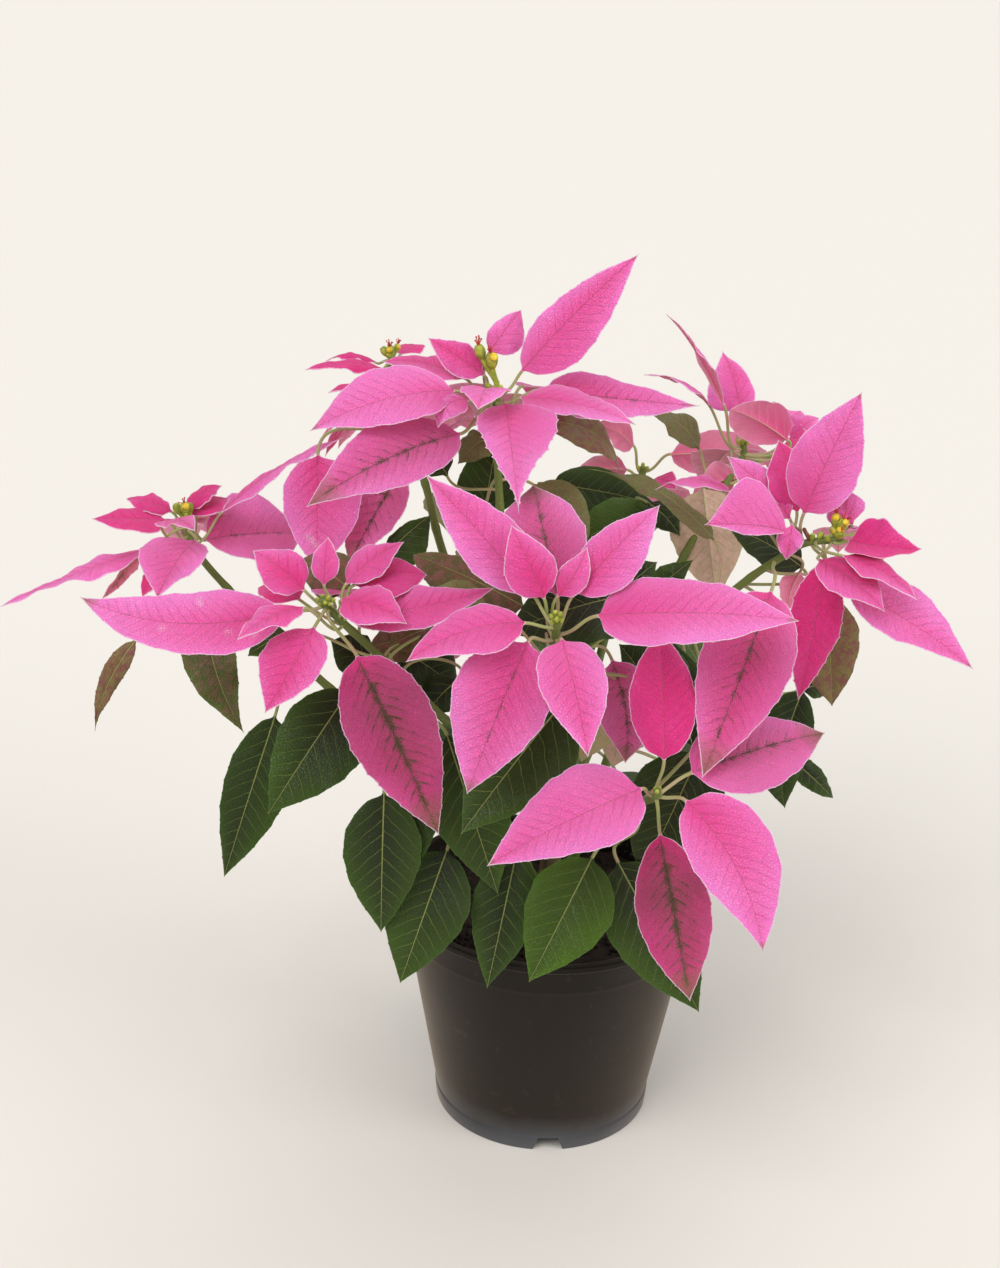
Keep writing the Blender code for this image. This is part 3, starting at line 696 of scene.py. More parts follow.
def pot_outline():
    """Outline of the wall from the middle of the floor's underside, out and up the outside, and back in."""
    band, lip = POT_HEIGHT - BAND_HEIGHT, POT_HEIGHT - LIP_HEIGHT
    upper, floor_top = RIM_RADIUS - LIP_WIDTH, FLOOR_HEIGHT + FLOOR_THICKNESS
    return np.array([
        (0.5 * MM, FLOOR_HEIGHT),
        (wall_radius(FLOOR_HEIGHT) - FOOT_WIDTH, FLOOR_HEIGHT),
        (FOOT_RADIUS - FOOT_WIDTH, 0),
        (FOOT_RADIUS, 0),
        (FOOT_RADIUS + FOOT_STEP, FOOT_HEIGHT - 1 * MM),
        (wall_radius(FOOT_HEIGHT), FOOT_HEIGHT),
        (wall_radius(band), band),
        (wall_radius(band) + BAND_STEP, band + 2 * MM),
        (upper, lip),
        (RIM_RADIUS, lip),
        (RIM_RADIUS, POT_HEIGHT),
        (upper - WALL, POT_HEIGHT),
        (upper - WALL, lip),
        (wall_radius(band) - WALL, band),
        (wall_radius(floor_top) - WALL, floor_top),
        (0.5 * MM, floor_top),
    ])


# %% Notches and holes
def straight_cutter(name, middle, along, section):
    """A prism for cutting: a closed section carried along a short straight way."""
    rings = np.stack([middle + section, middle + along + section])
    points, faces = skin_over(rings)
    mesh = bpy.data.meshes.new(name)
    mesh.from_pydata(points.tolist(), [], faces.tolist())
    made = bpy.data.objects.new(name, mesh)
    bpy.context.collection.objects.link(made)
    return made


def cut_away(piece, tools):
    """Cuts each tool out of the piece, keeps the result as its mesh and removes the tools."""
    for tool in tools:
        boolean = piece.modifiers.new(tool.name, "BOOLEAN")
        boolean.operation = "DIFFERENCE"
        boolean.solver = "EXACT"
        boolean.object = tool
    graph = bpy.context.evaluated_depsgraph_get()
    finished = bpy.data.meshes.new_from_object(piece.evaluated_get(graph), depsgraph=graph)
    piece.modifiers.clear()
    piece.data = finished
    for tool in tools:
        bpy.data.objects.remove(tool, do_unlink=True)


def make_pot():
    """The moulding with its notches and drain holes, standing for the pot's node."""
    points, faces = turned(softened(pot_outline(), 0.7 * MM), POT_STEPS)
    from_axis = np.linalg.norm((points - POT_AXIS)[:, :2], axis=1)
    inside = (from_axis < wall_radius(points[:, 2]) - WALL / 2) * (points[:, 2] > FLOOR_HEIGHT + 1 * MM)
    part = {"points": points, "faces": faces, "values": {"inside": inside.astype(float)}}
    plastic = moulded_plastic(FOOT_HEIGHT, PEAT_TOP)
    made = add_piece("pot_moulding", [part], [plastic], "pot", sharp=POT_SHARP_ANGLE)
    tools = []
    for notch in range(NOTCH_COUNT):
        angle = FIRST_NOTCH + notch * 2 * np.pi / NOTCH_COUNT
        outward = np.array([np.cos(angle), np.sin(angle), 0])
        across = np.array([-np.sin(angle), np.cos(angle), 0])
        low, high = NOTCH_FOOT_WIDTH / 2 + 2 * MM, NOTCH_TOP_WIDTH / 2
        corners = [(-low, -5 * MM), (-high, NOTCH_HEIGHT), (high, NOTCH_HEIGHT), (low, -5 * MM)]
        section = np.array([across * wide + UP * tall for wide, tall in corners])
        start = POT_AXIS + outward * (FOOT_RADIUS + 10 * MM)
        tools.append(straight_cutter(f"notch_{notch}", start, -outward * 20 * MM, section))
    turn_round = (np.arange(24) + 0.5) * 2 * np.pi / 24
    circle = DRAIN_RADIUS * np.stack([-np.cos(turn_round), np.sin(turn_round), 0 * turn_round], axis=1)
    for drain in range(DRAIN_COUNT):
        angle = drain * 2 * np.pi / DRAIN_COUNT
        middle = POT_AXIS + DRAIN_CIRCLE * np.array([np.cos(angle), np.sin(angle), 0])
        start = middle + UP * (FLOOR_HEIGHT - 3 * MM)
        tools.append(straight_cutter(f"drain_{drain}", start, UP * 9 * MM, circle))
    cut_away(made, tools)
    made.data.shade_smooth()
    made.data.set_sharp_from_angle(angle=np.radians(POT_SHARP_ANGLE))
    return made


pot_piece = make_pot()
print("pot faces:", len(pot_piece.data.polygons))

# %% [markdown]
# ## The peat
# The peat fills the pot to 17 mm below the rim. Its top is a disc of rings whose heights come from a sum
# of random waves, and a few hundred crumbs lie loose on it. Each crumb is a small lumpy ball of few faces.

# %% Peat and crumbs
PEAT_CROWN = 3 * MM
CRUMB_COUNT = 420
CRUMB_SEED = 11
PEAT_SEED = 5
PEAT_STEPS = 128
PEAT_RINGS = 60
CLOD_MM = 4


def lumpy_ball(middle, size, seed, rings=5, sides=8):
    """A closed ball of rings, pushed in and out unevenly."""
    luck = np.random.default_rng(seed)
    rise = np.linspace(-0.98, 0.98, rings)
    turn_round = np.pi - (np.arange(sides) + 0.5) * 2 * np.pi / sides
    wide = np.sqrt(1 - rise**2)[:, None] * luck.uniform(0.75, 1.2, (rings, sides))
    ball = np.stack([wide * np.cos(turn_round), wide * np.sin(turn_round), np.tile(rise[:, None], sides)], -1)
    spin = unit(luck.normal(size=(3, 3)))
    spin[1] = unit(np.cross(spin[0], spin[1]))
    spin[2] = np.cross(spin[0], spin[1])
    points, faces = skin_over(middle + size * ball @ spin)
    return {"points": points, "faces": faces}


def make_soil():
    """The block of peat: rings up its side and in over its top, and crumbs on it."""
    low = FLOOR_HEIGHT + FLOOR_THICKNESS + 0.3 * MM
    band = POT_HEIGHT - BAND_HEIGHT
    clearance = WALL + 0.5 * MM
    reach = wall_radius(band) - clearance
    outline = [(0.5 * MM, low), (wall_radius(low) - clearance, low)]
    outline += [(reach, band), (reach, PEAT_TOP - 1 * MM)]
    inward = np.linspace(reach - 0.8 * MM, 0.5 * MM, PEAT_RINGS)
    outline += [(each, PEAT_TOP + PEAT_CROWN * (1 - (each / reach) ** 2)) for each in inward]
    points, faces = turned(np.array(outline), PEAT_STEPS)
    on_top = points[:, 2] > PEAT_TOP - 0.5 * MM
    points[:, 2] += on_top * rough_field(points, PEAT_SEED, CLOD_MM) * 1.6 * MM
    luck = np.random.default_rng(CRUMB_SEED)
    away = reach * 0.97 * np.sqrt(luck.random(CRUMB_COUNT))
    angle = luck.random(CRUMB_COUNT) * 2 * np.pi
    lift = PEAT_TOP + PEAT_CROWN * (1 - (away / reach) ** 2) + 0.4 * MM
    middles = POT_AXIS + np.stack([away * np.cos(angle), away * np.sin(angle), lift], axis=1)
    sizes = luck.uniform(0.9, 2.6, CRUMB_COUNT) * MM
    crumbs = [lumpy_ball(middles[at], sizes[at], at) for at in range(CRUMB_COUNT)]
    return add_piece("peat_fill", [{"points": points, "faces": faces}, *crumbs], [PEAT], "soil")


soil_piece = make_soil()
print("peat faces:", len(soil_piece.data.polygons))

# %% [markdown]
# ## Stems
# A short woody stem stands on the peat, cut across at its top. Nine green branches leave it, each to one
# flower head. A branch is a tube along a smooth path through places seen in the picture, a little
# thicker at each joint where a leaf grew.

# %% Heads and branches
HEADS = {
    "top": ((497, 388), 20, 22),
    "top_left": ((392, 356), 100, 22),
    "far_left": ((190, 522), 20, 10),
    "left": ((325, 600), -90, 3),
    "front": ((557, 622), -120, 3),
    "right": ((838, 534), -22, 3),
    "back_right": ((743, 444), 80, 8),
    "back": ((643, 467), 150, 15),
    "low_right": ((657, 790), -140, 3),
}
BRANCHES = {
    "top": (193, [((506, 600), 6), ((499, 489), 16)]),
    "top_left": (178, [((447, 565), 60), ((424, 480), 85)]),
    "far_left": (160, [((400, 740), -8), ((325, 684), 5), ((220, 580), 16)]),
    "left": (146, [((470, 745), -50), ((440, 715), -65), ((378, 655), -82)]),
    "front": (176, [((550, 730), -60), ((552, 665), -100)]),
    "right": (164, [((640, 680), -4), ((730, 594), -14), ((783, 556), -20), ((806, 543), -21)]),
    "back_right": (190, [((620, 680), 35), ((678, 567), 55), ((716, 500), 70)]),
    "back": (168, [((610, 620), 90), ((646, 530), 135)]),
    "low_right": (144, [((600, 815), -70), ((640, 803), -112)]),
}
MAIN_STEM_RADIUS = 6 * MM
MAIN_STEM_TOP = 200 * MM
BRANCH_FOOT_RADIUS = 2.9 * MM
BRANCH_TIP_RADIUS = 1.9 * MM
BRANCH_RUN_OUT = 10 * MM
JOINT_SPACING = 26 * MM
JOINT_SWELL = 0.14
JOINT_REACH = 2 * MM
BARK_SEED = 3
BARK_MM = 2
GAP = 0.4 * MM


def branch_path(head, steps=60):
    """The middle line of a branch, from beside the main stem to the flower head, with an upright last
    stretch."""
    height, route = BRANCHES[head]
    stops = [seen_at(*stop) for stop in route]
    pixel, depth, upright_length = HEADS[head]
    tip = seen_at(pixel, depth)
    outward = unit(((stops[0] if head != "top" else tip) - POT_AXIS) * (1, 1, 0))
    foot = POT_AXIS + outward * (MAIN_STEM_RADIUS + GAP) + UP * height * MM
    run_out = foot + outward * BRANCH_RUN_OUT + UP * 5 * MM
    upright = tip - UP * upright_length * MM
    return smooth_path([foot - outward * 3 * MM, run_out, *stops, upright, tip], steps)


def branch_radius(share):
    """Radius at a share of the way from the foot to the tip of a branch."""
    return BRANCH_FOOT_RADIUS + (BRANCH_TIP_RADIUS - BRANCH_FOOT_RADIUS) * share


def path_length(path):
    """Length of a path of points."""
    return np.linalg.norm(np.diff(path, axis=0), axis=1).sum()


def make_branch(head):
    """A branch with a low swelling at each joint: radius * (1 + swell * exp(-(distance / reach) squared))."""
    path = branch_path(head, 110)
    share = np.linspace(0, 1, len(path))
    gone = share * path_length(path)
    from_joint = (gone + JOINT_SPACING / 2) % JOINT_SPACING - JOINT_SPACING / 2
    swell = 1 + JOINT_SWELL * np.exp(-((from_joint / JOINT_REACH) ** 2))
    points, faces = skin_over(round_rings(path, branch_radius(share) * swell, 16))
    part = {"points": points, "faces": faces}
    add_piece(f"{head}_branch_stem", [part], [BRANCH], f"{head}_branch")


def make_main_stem():
    """The woody stem: wider at its foot, uneven, and cut across at its top."""
    heights = np.linspace(PEAT_TOP + PEAT_CROWN - 1 * MM, MAIN_STEM_TOP, 90)
    gone = heights - heights[0]
    wide = 1 + 0.35 * np.exp(-gone / (5 * MM))
    rings = round_rings(POT_AXIS + heights[:, None] * UP, MAIN_STEM_RADIUS * wide, 28)
    away = rings - (POT_AXIS + heights[:, None] * UP)[:, None]
    uneven = rough_field(rings.reshape(-1, 3), BARK_SEED, BARK_MM).reshape(rings.shape[:2])
    rings = rings + away * uneven[..., None] * 0.06
    points, faces = skin_over(rings)
    add_piece("woody_stem", [{"points": points, "faces": faces}], [BARK], "main_stem")


make_main_stem()
for each_head in HEADS:
    make_branch(each_head)
print("branches:", len(HEADS))

# %% [markdown]
# ## One leaf
# A leaf starts as a round stalk on its branch. Where the blade begins, the round section opens into a
# wide, thin one. The blade's half width swells from the stalk, is greatest at a given share of the
# length and runs out to a drawn point. Its surface is folded along the midrib, drooped towards the
# edges, waved along them, and quilted: it stands up between the side veins.

# %% Looks and shapes of leaves
ROW_STEP = 1.0 * MM
STALK_STEP = 2.0 * MM
SECTION = 17
STALK_RADIUS = 0.88 * MM
BLADE_THICKNESS = 0.32 * MM
EDGE_THICKNESS = 0.14 * MM
FIRST_STALK = 3.0
STALK_SPACING = 1.6
LEAF_SEED = 40
# Each finish is (skin, tone, olive, blush, share of the length that is an old tip)
FINISH = {
    "pink": ("bract", 0.64, 0.0, 0.0, 0.06),
    "young": ("bract", 0.34, 0.0, 0.0, 0.04),
    "fading": ("bract", 0.64, 0.45, 0.0, 0.1),
    "veined": ("bract", 0.62, 0.75, 0.0, 0.22),
    "streaked": ("bract", 0.68, 0.22, 0.0, 0.1),
    "rosy": ("bract", 0.4, 0.7, 0.0, 0.2),
    "deep": ("bract", 0.0, 1.0, 0.0, 0.22),
    "aged": ("bract", 0.2, 1.0, 0.0, 0.22),
    # shaded is a deep crimson pink that paints shade and the light shining through a bract
    "shaded": ("bract", 0.0, 0.0, 0.0, 0.05),
    "dusty": ("bract", 0.55, 0.2, 0.1, 0.1),
    "green": ("green", 0.24, 0.0, 0.0, 0.0),
    "bright": ("green", 0.58, 0.0, 0.0, 0.0),
    "dark": ("green", 0.05, 0.0, 0.0, 0.0),
    "mottled": ("green", 0.5, 0.3, 0.45, 0.0),
    "olive": ("green", 0.8, 0.9, 0.3, 0.0),
    "ruddy": ("green", 0.05, 0.2, 0.8, 0.0),
    "tan": ("green", 0.6, 0.6, 0.9, 0.0),
}
# side turns the face to the right. arch lifts the midrib off its chord and bend moves it to the right of
# the way it grows. fold raises the halves, cup droops their edges, belly widens the right half and narrows
# the left one, twist turns the tip and ragged notches the margin. vein is the distance between side veins,
# and sap lists dried drops as (share along, share across). Lengths are in millimetres, angles in degrees.
PLAIN_SHAPE = {
    "side": 0, "arch": 4, "bend": 0, "fold": 11, "widest": 0.36, "rounded": 0.62, "drawn": 1.2, "belly": 0,
    "cup": 2.5, "wave": 1.2, "twist": 0, "ragged": 0, "vein": 6.0, "depth": None, "down": None, "sap": (),
}
grown = {}
leaf_names = []


# %% Where a leaf sits
def stalk_root(head, foot, down):
    """Where a stalk leaves its branch, as (root, outward). down is how far below the tip it is."""
    path = branch_path(head)[::-1]
    if down is None:
        down = FIRST_STALK + STALK_SPACING * grown.setdefault(head, 0)
        grown[head] += 1
    share = down * MM / path_length(path)
    root, ahead = along_path(path, np.array([share, share + 0.01]))
    along = unit(root - ahead)
    outward = unit((foot - root) - ((foot - root) @ along) * along)
    return root + outward * branch_radius(1 - share) * 0.8, outward


def blade_ends(head, base, tip, reach, depth):
    """The two ends of a blade in space: from pixels and depths, or from places given in full."""
    if len(base) == 3:
        return POT_AXIS + np.array(base) * MM, POT_AXIS + np.array(tip) * MM
    if depth is None:
        start, run = (np.linalg.norm(np.subtract(*ends)) for ends in ((base, HEADS[head][0]), (tip, base)))
        depth = HEADS[head][1] + min(start / run, 1) * reach
    return seen_at(base, depth), seen_at(tip, depth + reach)


def middle_line(head, ends, lean, shape):
    """The middle of a leaf: a cubic curve out from the branch and one along the midrib. Gives its points,
    right and up at each, the distance past the foot of the blade and the share of the blade."""
    foot, point = ends
    length = np.linalg.norm(point - foot)
    chord = (point - foot) / length
    level, tilt = np.radians(shape.side), np.radians(lean)
    facing = np.array([np.sin(level), -np.sin(tilt) * np.cos(level), np.cos(tilt) * np.cos(level)])
    face = unit(facing - (facing @ chord) * chord)
    across = np.cross(chord, face)
    pull = (face * shape.arch + across * shape.bend) * MM * 4 / 3
    share = np.linspace(0, 1, max(int(length / ROW_STEP), 12))
    rib = bow(foot, foot + (point - foot) / 3 + pull, foot + (point - foot) * 2 / 3 + pull, point, share)

    root, outward = stalk_root(head, foot, shape.down)
    gone = np.linalg.norm(foot - root)
    arrive = unit(rib[1] - rib[0])
    stalk_share = np.linspace(0, 1, max(int(gone / STALK_STEP), 4), endpoint=False)
    stalk = bow(root, root + outward * 0.4 * gone, foot - arrive * 0.35 * gone, foot, stalk_share)
    path = np.vstack([stalk, rib])
    part = np.concatenate([0 * stalk_share, share])
    along = np.concatenate([[0], np.cumsum(np.linalg.norm(np.diff(path, axis=0), axis=1))])
    along -= along[len(stalk)]
    way = unit(np.gradient(path, along, axis=0))
    right = unit(across - (way @ across)[:, None] * way)
    up = np.cross(right, way)
    spin = np.radians(shape.twist) * part[:, None]
    right, up = np.cos(spin) * right + np.sin(spin) * up, np.cos(spin) * up - np.sin(spin) * right
    return path, right, up, along, part


# %% Shape of a blade
BLADE_EVEN = 1.25
LOBE_DEPTH = 0.016
TOOTH_SPACING = 7.3
FINE_TOOTH_SPACING = 2.7
LEAST_HALF_WIDTH = 0.12 * MM
FOLD_ROUNDING = 1.2 * MM
QUILT_HEIGHT = 0.65 * MM
HAND_PHASE = 1.7


def blade_width(share, widest, rounded, drawn):
    """Half width as a part of the greatest: sin(pi/2 * share / widest) ** rounded up to the widest place,
    and then (1 - rest) ** drawn * (1 + drawn * rest) out to the point."""
    swell = np.sin(np.pi / 2 * np.clip(share / widest, 0, 1)) ** rounded
    rest = np.clip((share - widest) / (1 - widest), 0, 1)
    return np.where(share < widest, swell, (1 - rest) ** drawn * (1 + drawn * rest))


def blade_edge(v, along, part, width, shape, luck):
    """Half widths at each ring: the outline, with slow lobes and small teeth along it. Gives the random
    phases too, which the waves of the edge share."""
    taper = np.sin(np.pi * np.clip(part, 0, 1))[:, None]
    ends = np.minimum(1, np.minimum(part, 1 - part) * 8)[:, None]
    lopsided = 1 + shape.belly * np.sign(v)
    half = (blade_width(part, shape.widest, shape.rounded, shape.drawn) * width / 2 * MM)[:, None] * lopsided
    phase = luck.random(8) * 2 * np.pi
    hand = (v > 0) * HAND_PHASE
    mm_along = along[:, None] / MM
    lobes = LOBE_DEPTH * np.sin(mm_along / luck.uniform(11, 16) * 2 * np.pi + phase[0] + hand) * taper
    teeth = np.maximum(np.sin(mm_along / TOOTH_SPACING * 2 * np.pi + phase[1] + hand), 0.3) ** 6
    fine = 0.06 * np.sin(mm_along / FINE_TOOTH_SPACING * 2 * np.pi + phase[2] + hand)
    teeth = (teeth * (0.35 + 2.2 * shape.ragged) + fine) * MM
    half = np.maximum(half * (1 + lobes) + teeth * ends * (np.abs(v) > 0.8), LEAST_HALF_WIDTH)
    return half, taper, ends, phase


def blade_section(along, part, width, shape, luck):
    """A blade's section at each ring, in places v from the left edge, -1, to the right one, 1: how far out
    and how high its two faces are, the distance to the rim, and the place in vein spacings."""
    v = np.linspace(-1, 1, SECTION)[None, :]
    v = np.sign(v) * np.abs(v) ** BLADE_EVEN
    half, taper, ends, phase = blade_edge(v, along, part, width, shape, luck)
    hand = (v > 0) * HAND_PHASE
    out = v * half
    veins = along[:, None] / MM / shape.vein + 0 * out, out / (shape.vein * MM)
    slope = np.gradient(half[:, 0], along)[:, None]
    rim = (1 - np.abs(v)) * half / np.sqrt(1 + slope**2)
    fold_rise = np.tan(np.radians(shape.fold)) * (np.sqrt(out**2 + FOLD_ROUNDING**2) - FOLD_ROUNDING)
    droop = -shape.cup * MM * v**2 * (half / (width / 2 * MM)) ** 1.5
    ripple = shape.wave * MM * v**2 * taper * (
        np.sin(part[:, None] * 2 * np.pi * luck.uniform(1.2, 2.2) + phase[3] + 2 * hand)
        + 0.4 * np.sin(part[:, None] * 2 * np.pi * luck.uniform(3, 5) + phase[4] + hand)
    )
    quilt = QUILT_HEIGHT * np.abs(np.sin(np.pi * swept(*veins))) ** 0.8 * ends
    quilt *= (1 - np.exp(-rim / (2.5 * MM))) * (1 - np.exp(-np.abs(out) / (1.5 * MM)))
    middle = fold_rise + droop + ripple + quilt
    thick = EDGE_THICKNESS + (BLADE_THICKNESS - EDGE_THICKNESS) * (1 - v**6)
    rib_radius = (0.8 - 0.6 * part[:, None]) * MM
    bulge = rib_radius * np.exp(-((out / (rib_radius * 0.9)) ** 2)) * (1 - part[:, None] ** 4)
    return v, half, out, middle + thick / 2, middle - thick / 2 - bulge, rim, veins, phase


def leaf_rings(line, width, out, high, low):
    """Rings of points round a leaf. On the stalk a ring is a circle with as many points as the blade's
    section, and it opens into that section over the blade's first millimetres."""
    path, right, up, along, _ = line
    turn_round = np.pi - (np.arange(SECTION) + 0.5) * np.pi / SECTION
    flare = 1 + 0.3 * np.exp(-(along - along[0]) / (1.5 * MM))
    stalk_radius = (STALK_RADIUS * (0.75 + width / 160) * flare)[:, None]
    opened = np.clip(along / (4 * MM), 0, 1)[:, None]
    opened = opened * opened * (3 - 2 * opened)
    wide = (1 - opened) * stalk_radius * np.cos(turn_round) + opened * out
    round_high = stalk_radius * np.sin(turn_round)
    high = (1 - opened) * round_high + opened * high
    low = -(1 - opened) * round_high + opened * low
    upper = path[:, None] + right[:, None] * wide[..., None] + up[:, None] * high[..., None]
    under = path[:, None] + right[:, None] * wide[..., None] + up[:, None] * low[..., None]
    return np.concatenate([upper, under[:, ::-1]], axis=1)


# %% Leaf function
DROP_RADIUS = 1.6 * MM
UPPER, UNDER, STALK_PART = 0, 1, 2


def leaf_faces(in_blade):
    """The material of each face: upper skin and edge, underside, or stalk."""
    around = 2 * SECTION
    spot = np.tile(np.arange(around), len(in_blade) - 1)
    ring = np.repeat(np.arange(len(in_blade) - 1), around)
    below = (spot >= SECTION) & (spot < around - 1)
    worn = np.where(in_blade[ring], np.where(below, UNDER, UPPER), STALK_PART)
    return np.concatenate([worn, np.full(2 * (SECTION - 1), STALK_PART)])


def leaf(name, head, base, tip, reach, width, lean, finish="pink", **given):
    """One leaf. base and tip are where its blade starts and ends: pixels, or on the hidden side places from
    the foot of the pot's axis. reach is how much further back the tip is. lean tilts the face from straight
    up towards the front. depth is how far the base is behind the pot's axis, and down how far below the
    head the stalk leaves its branch. The rest of the shape is as beside PLAIN_SHAPE."""
    leaf_names.append(name)
    luck = np.random.default_rng(LEAF_SEED + len(leaf_names))
    skin, tone, olive, blush, old_tip = FINISH[finish]
    shape = SimpleNamespace(**{**PLAIN_SHAPE, **given})
    ends = blade_ends(head, base, tip, reach, shape.depth)
    length = np.linalg.norm(ends[1] - ends[0])
    line = middle_line(head, ends, lean, shape)
    along, part = line[3:]
    v, half, out, high, low, rim, veins, phase = blade_section(along, part, width, shape, luck)
    points, faces = skin_over(leaf_rings(line, width, out, high, low))

    # Values for the skin: it is paler at the edge and the tip, and older along the middle of the blade
    share = part[:, None]
    age_along = np.interp(part, (0, 0.08, 0.3, 0.75, 1), (0.1, 0.8, 1.0, 0.8, 0.5))[:, None]
    aged = 1 if skin == "green" else age_along
    tanned = np.clip((share - 1 + old_tip) / max(old_tip, 0.01), 0, 1) ** 0.6
    paler = 0.46 * (np.abs(v) ** 1.5 - 0.4) + 0.34 * (share - 0.5)
    paler = paler + 0.16 * np.sin(3.4 * share + phase[5] + 1.4 * v)
    drops = 0 * out
    for far, aside in shape.sap:
        drops = drops + np.exp(-(((share - far) * length) ** 2 + (out - aside * half) ** 2) / DROP_RADIUS**2)
    both = {
        "rim": rim / MM,
        "tone": np.clip(tone + paler * (0.4 + tone), 0, 1),
        "olive": olive * aged + 0 * out,
        "blush": blush + tanned * (1 - blush) + 0 * out,
        "thin": 1 / (1.05 - 0.8 * share) + 0 * out,
        "sap": drops,
    }
    values = {key: np.concatenate([found, found[:, ::-1]], axis=1).ravel() for key, found in both.items()}
    spread = np.stack(veins, axis=-1)
    values["veins"] = np.concatenate([spread, spread[:, ::-1]], axis=1).reshape(-1, 2)
    made = {"points": points, "faces": faces, "worn": leaf_faces(along >= 0), "values": values}
    add_piece(f"{name}_grown", [made], BLADES[skin], name if name in frame["nodes"] else None)


def grow(head, kind, name, *places, **shape):
    """A leaf named after its head and its kind: bract, or leaf for a green one."""
    leaf(f"{head}_{kind}_{name}", head, *places, **shape)


def hidden(name, head, base, tip, width, lean, down, arch, finish="pink", **shape):
    """A leaf on the hidden side, named after the back, with its places given in full."""
    leaf(f"back_{name}", head, base, tip, 0, width, lean, finish, down=down, arch=arch, **shape)


# %% [markdown]
# ## The bracts of each head
# A poinsettia's newest bracts sit closest to the flowers, so the stalks of a head leave its branch one
# below the other, in the order of the calls. The bracts could be scattered by chance, but the eye knows
# this plant by its gaps and crossings. So each call is one leaf: the ends of its blade, read off the
# picture, how much further back its tip is, its real width and its lean.

# %% Bracts of the top head
bract = partial(grow, "top", "bract")
bract("up_right", (522, 371), (639, 254), 15, 31, 60, belly=0.2, bend=-1, widest=0.32)
bract("left", (454, 391), (310, 431), -25, 40, 30, arch=8, belly=0.06)
bract("low_left", (460, 434), (306, 507), -45, 42, 35, "veined", arch=8, belly=0.05)
bract("front", (505, 404), (519, 514), -82, 41, 30, widest=0.22, drawn=2.0, ragged=0.4, belly=-0.22)
bract("right", (544, 390), (700, 406), 25, 27, 44, "fading", widest=0.24, drawn=1.4, bend=3)
bract("up", (489, 353), (521, 310), 15, 19, 65, belly=0.25)
bract("up_left", (484, 375), (428, 338), 10, 18, 50, "young", bend=-1)
bract("small_left", (468, 401), (438, 428), -15, 18, 30, arch=5, bend=3)
bract("small_front", (489, 391), (478, 410), -32, 26, 0, arch=5)
bract("right_low", (521, 398), (636, 425), -20, 30, 12, widest=0.3)
bract("back_left", (466, 379), (382, 362), 15, 24, 10, "young")
bract("under_left", (484, 424), (444, 434), -15, 20, -40, "dusty", depth=20, down=16)

# %% Bracts of the top left head
bract = partial(grow, "top_left", "bract")
bract("front", (318, 455), (318, 568), -20, 42, 60, depth=40, down=40, rounded=0.5, belly=-0.12, drawn=1.0,
      sap=[(0.72, 0.35), (0.75, 0.25), (0.79, 0.1)])
bract("left_up", (376, 363), (325, 362), 5, 8, 5, "shaded", arch=5)
bract("left", (382, 369), (305, 370), -10, 13, 12, "shaded")
bract("right", (400, 355), (424, 347), 30, 15, 0, "shaded", arch=3)
bract("low", (388, 388), (328, 393), -25, 12, 10, "shaded")
bract("hang_1", (378, 395), (313, 457), -20, 18, -30, "shaded", arch=6)
bract("hang_2", (385, 392), (325, 457), -5, 18, -30, "shaded", arch=6)
bract("hang_3", (390, 390), (338, 449), 10, 20, -30, "dusty", arch=6)
bract("shaded", (402, 470), (348, 565), -30, 33, 50, "veined", depth=55, down=30, belly=0.2)

# %% Bracts of the far left head
bract = partial(grow, "far_left", "bract")
green = partial(grow, "far_left", "leaf")
bract("long", (149, 549), (0, 607), -35, 19, -3, arch=5, wave=2.5, bend=-8)
bract("front", (195, 541), (157, 598), -45, 36, 15, widest=0.35, rounded=0.5, belly=0.25)
bract("right", (205, 540), (302, 535), 45, 46, 45, "fading", widest=0.5, belly=-0.15)
bract("up_right", (188, 510), (222, 486), 15, 14, 12, "shaded")
bract("up_left", (172, 512), (126, 499), 10, 17, 12, "shaded", bend=-2)
bract("left", (168, 522), (92, 519), -5, 23, 14, "shaded", arch=4, wave=0.6, bend=-4)
bract("back", (190, 517), (230, 499), 25, 20, 10, "shaded")
bract("thin_right", (222, 512), (343, 438), 30, 14, -5, arch=6, bend=4, wave=1.6)
bract("dark", (139, 551), (102, 599), -10, 8, -60, "veined", bend=3)
bract("tip", (172, 560), (142, 598), -15, 16, 15, "shaded", depth=8, down=8)
bract("under", (163, 525), (195, 531), -25, 20, 0, "dusty")
green("narrow", (136, 640), (95, 731), -10, 12, 60, "tan", depth=-5, down=45, bend=3, arch=6, widest=0.3,
      drawn=1.6, fold=25, twist=40)
green("mottled", (207, 628), (244, 733), -25, 29, 60, "mottled", depth=-5, down=60, bend=3, belly=0.1,
      wave=3, widest=0.2, rounded=0.6, drawn=1.4)

# %% Bracts of the left head
bract = partial(grow, "left", "bract")
green = partial(grow, "left", "leaf")
bract("long", (283, 612), (80, 597), 10, 39, 32, "streaked", bend=-14, belly=0.0, widest=0.32, rounded=0.55,
      sap=[(0.39, 0.75), (0.38, 0.6), (0.55, -0.25), (0.25, -0.35), (0.15, -0.6)])
bract("low", (314, 628), (265, 713), -35, 33, 20, "young", widest=0.4, bend=-2, belly=0.1)
bract("hanging", (357, 656), (439, 835), -25, 45, 60, "aged", side=10, rounded=0.5, ragged=0.15)
bract("up_left", (304, 590), (253, 551), 12, 24, 38, "young", rounded=0.5)
bract("up", (324, 585), (328, 537), 15, 14, 45, "young")
bract("up_right", (346, 584), (404, 542), 20, 19, 25, "young")
bract("right_low", (342, 600), (407, 624), -15, 26, 25, "young", rounded=0.5)
bract("right_shaded", (354, 585), (427, 575), 20, 32, 25, "shaded")
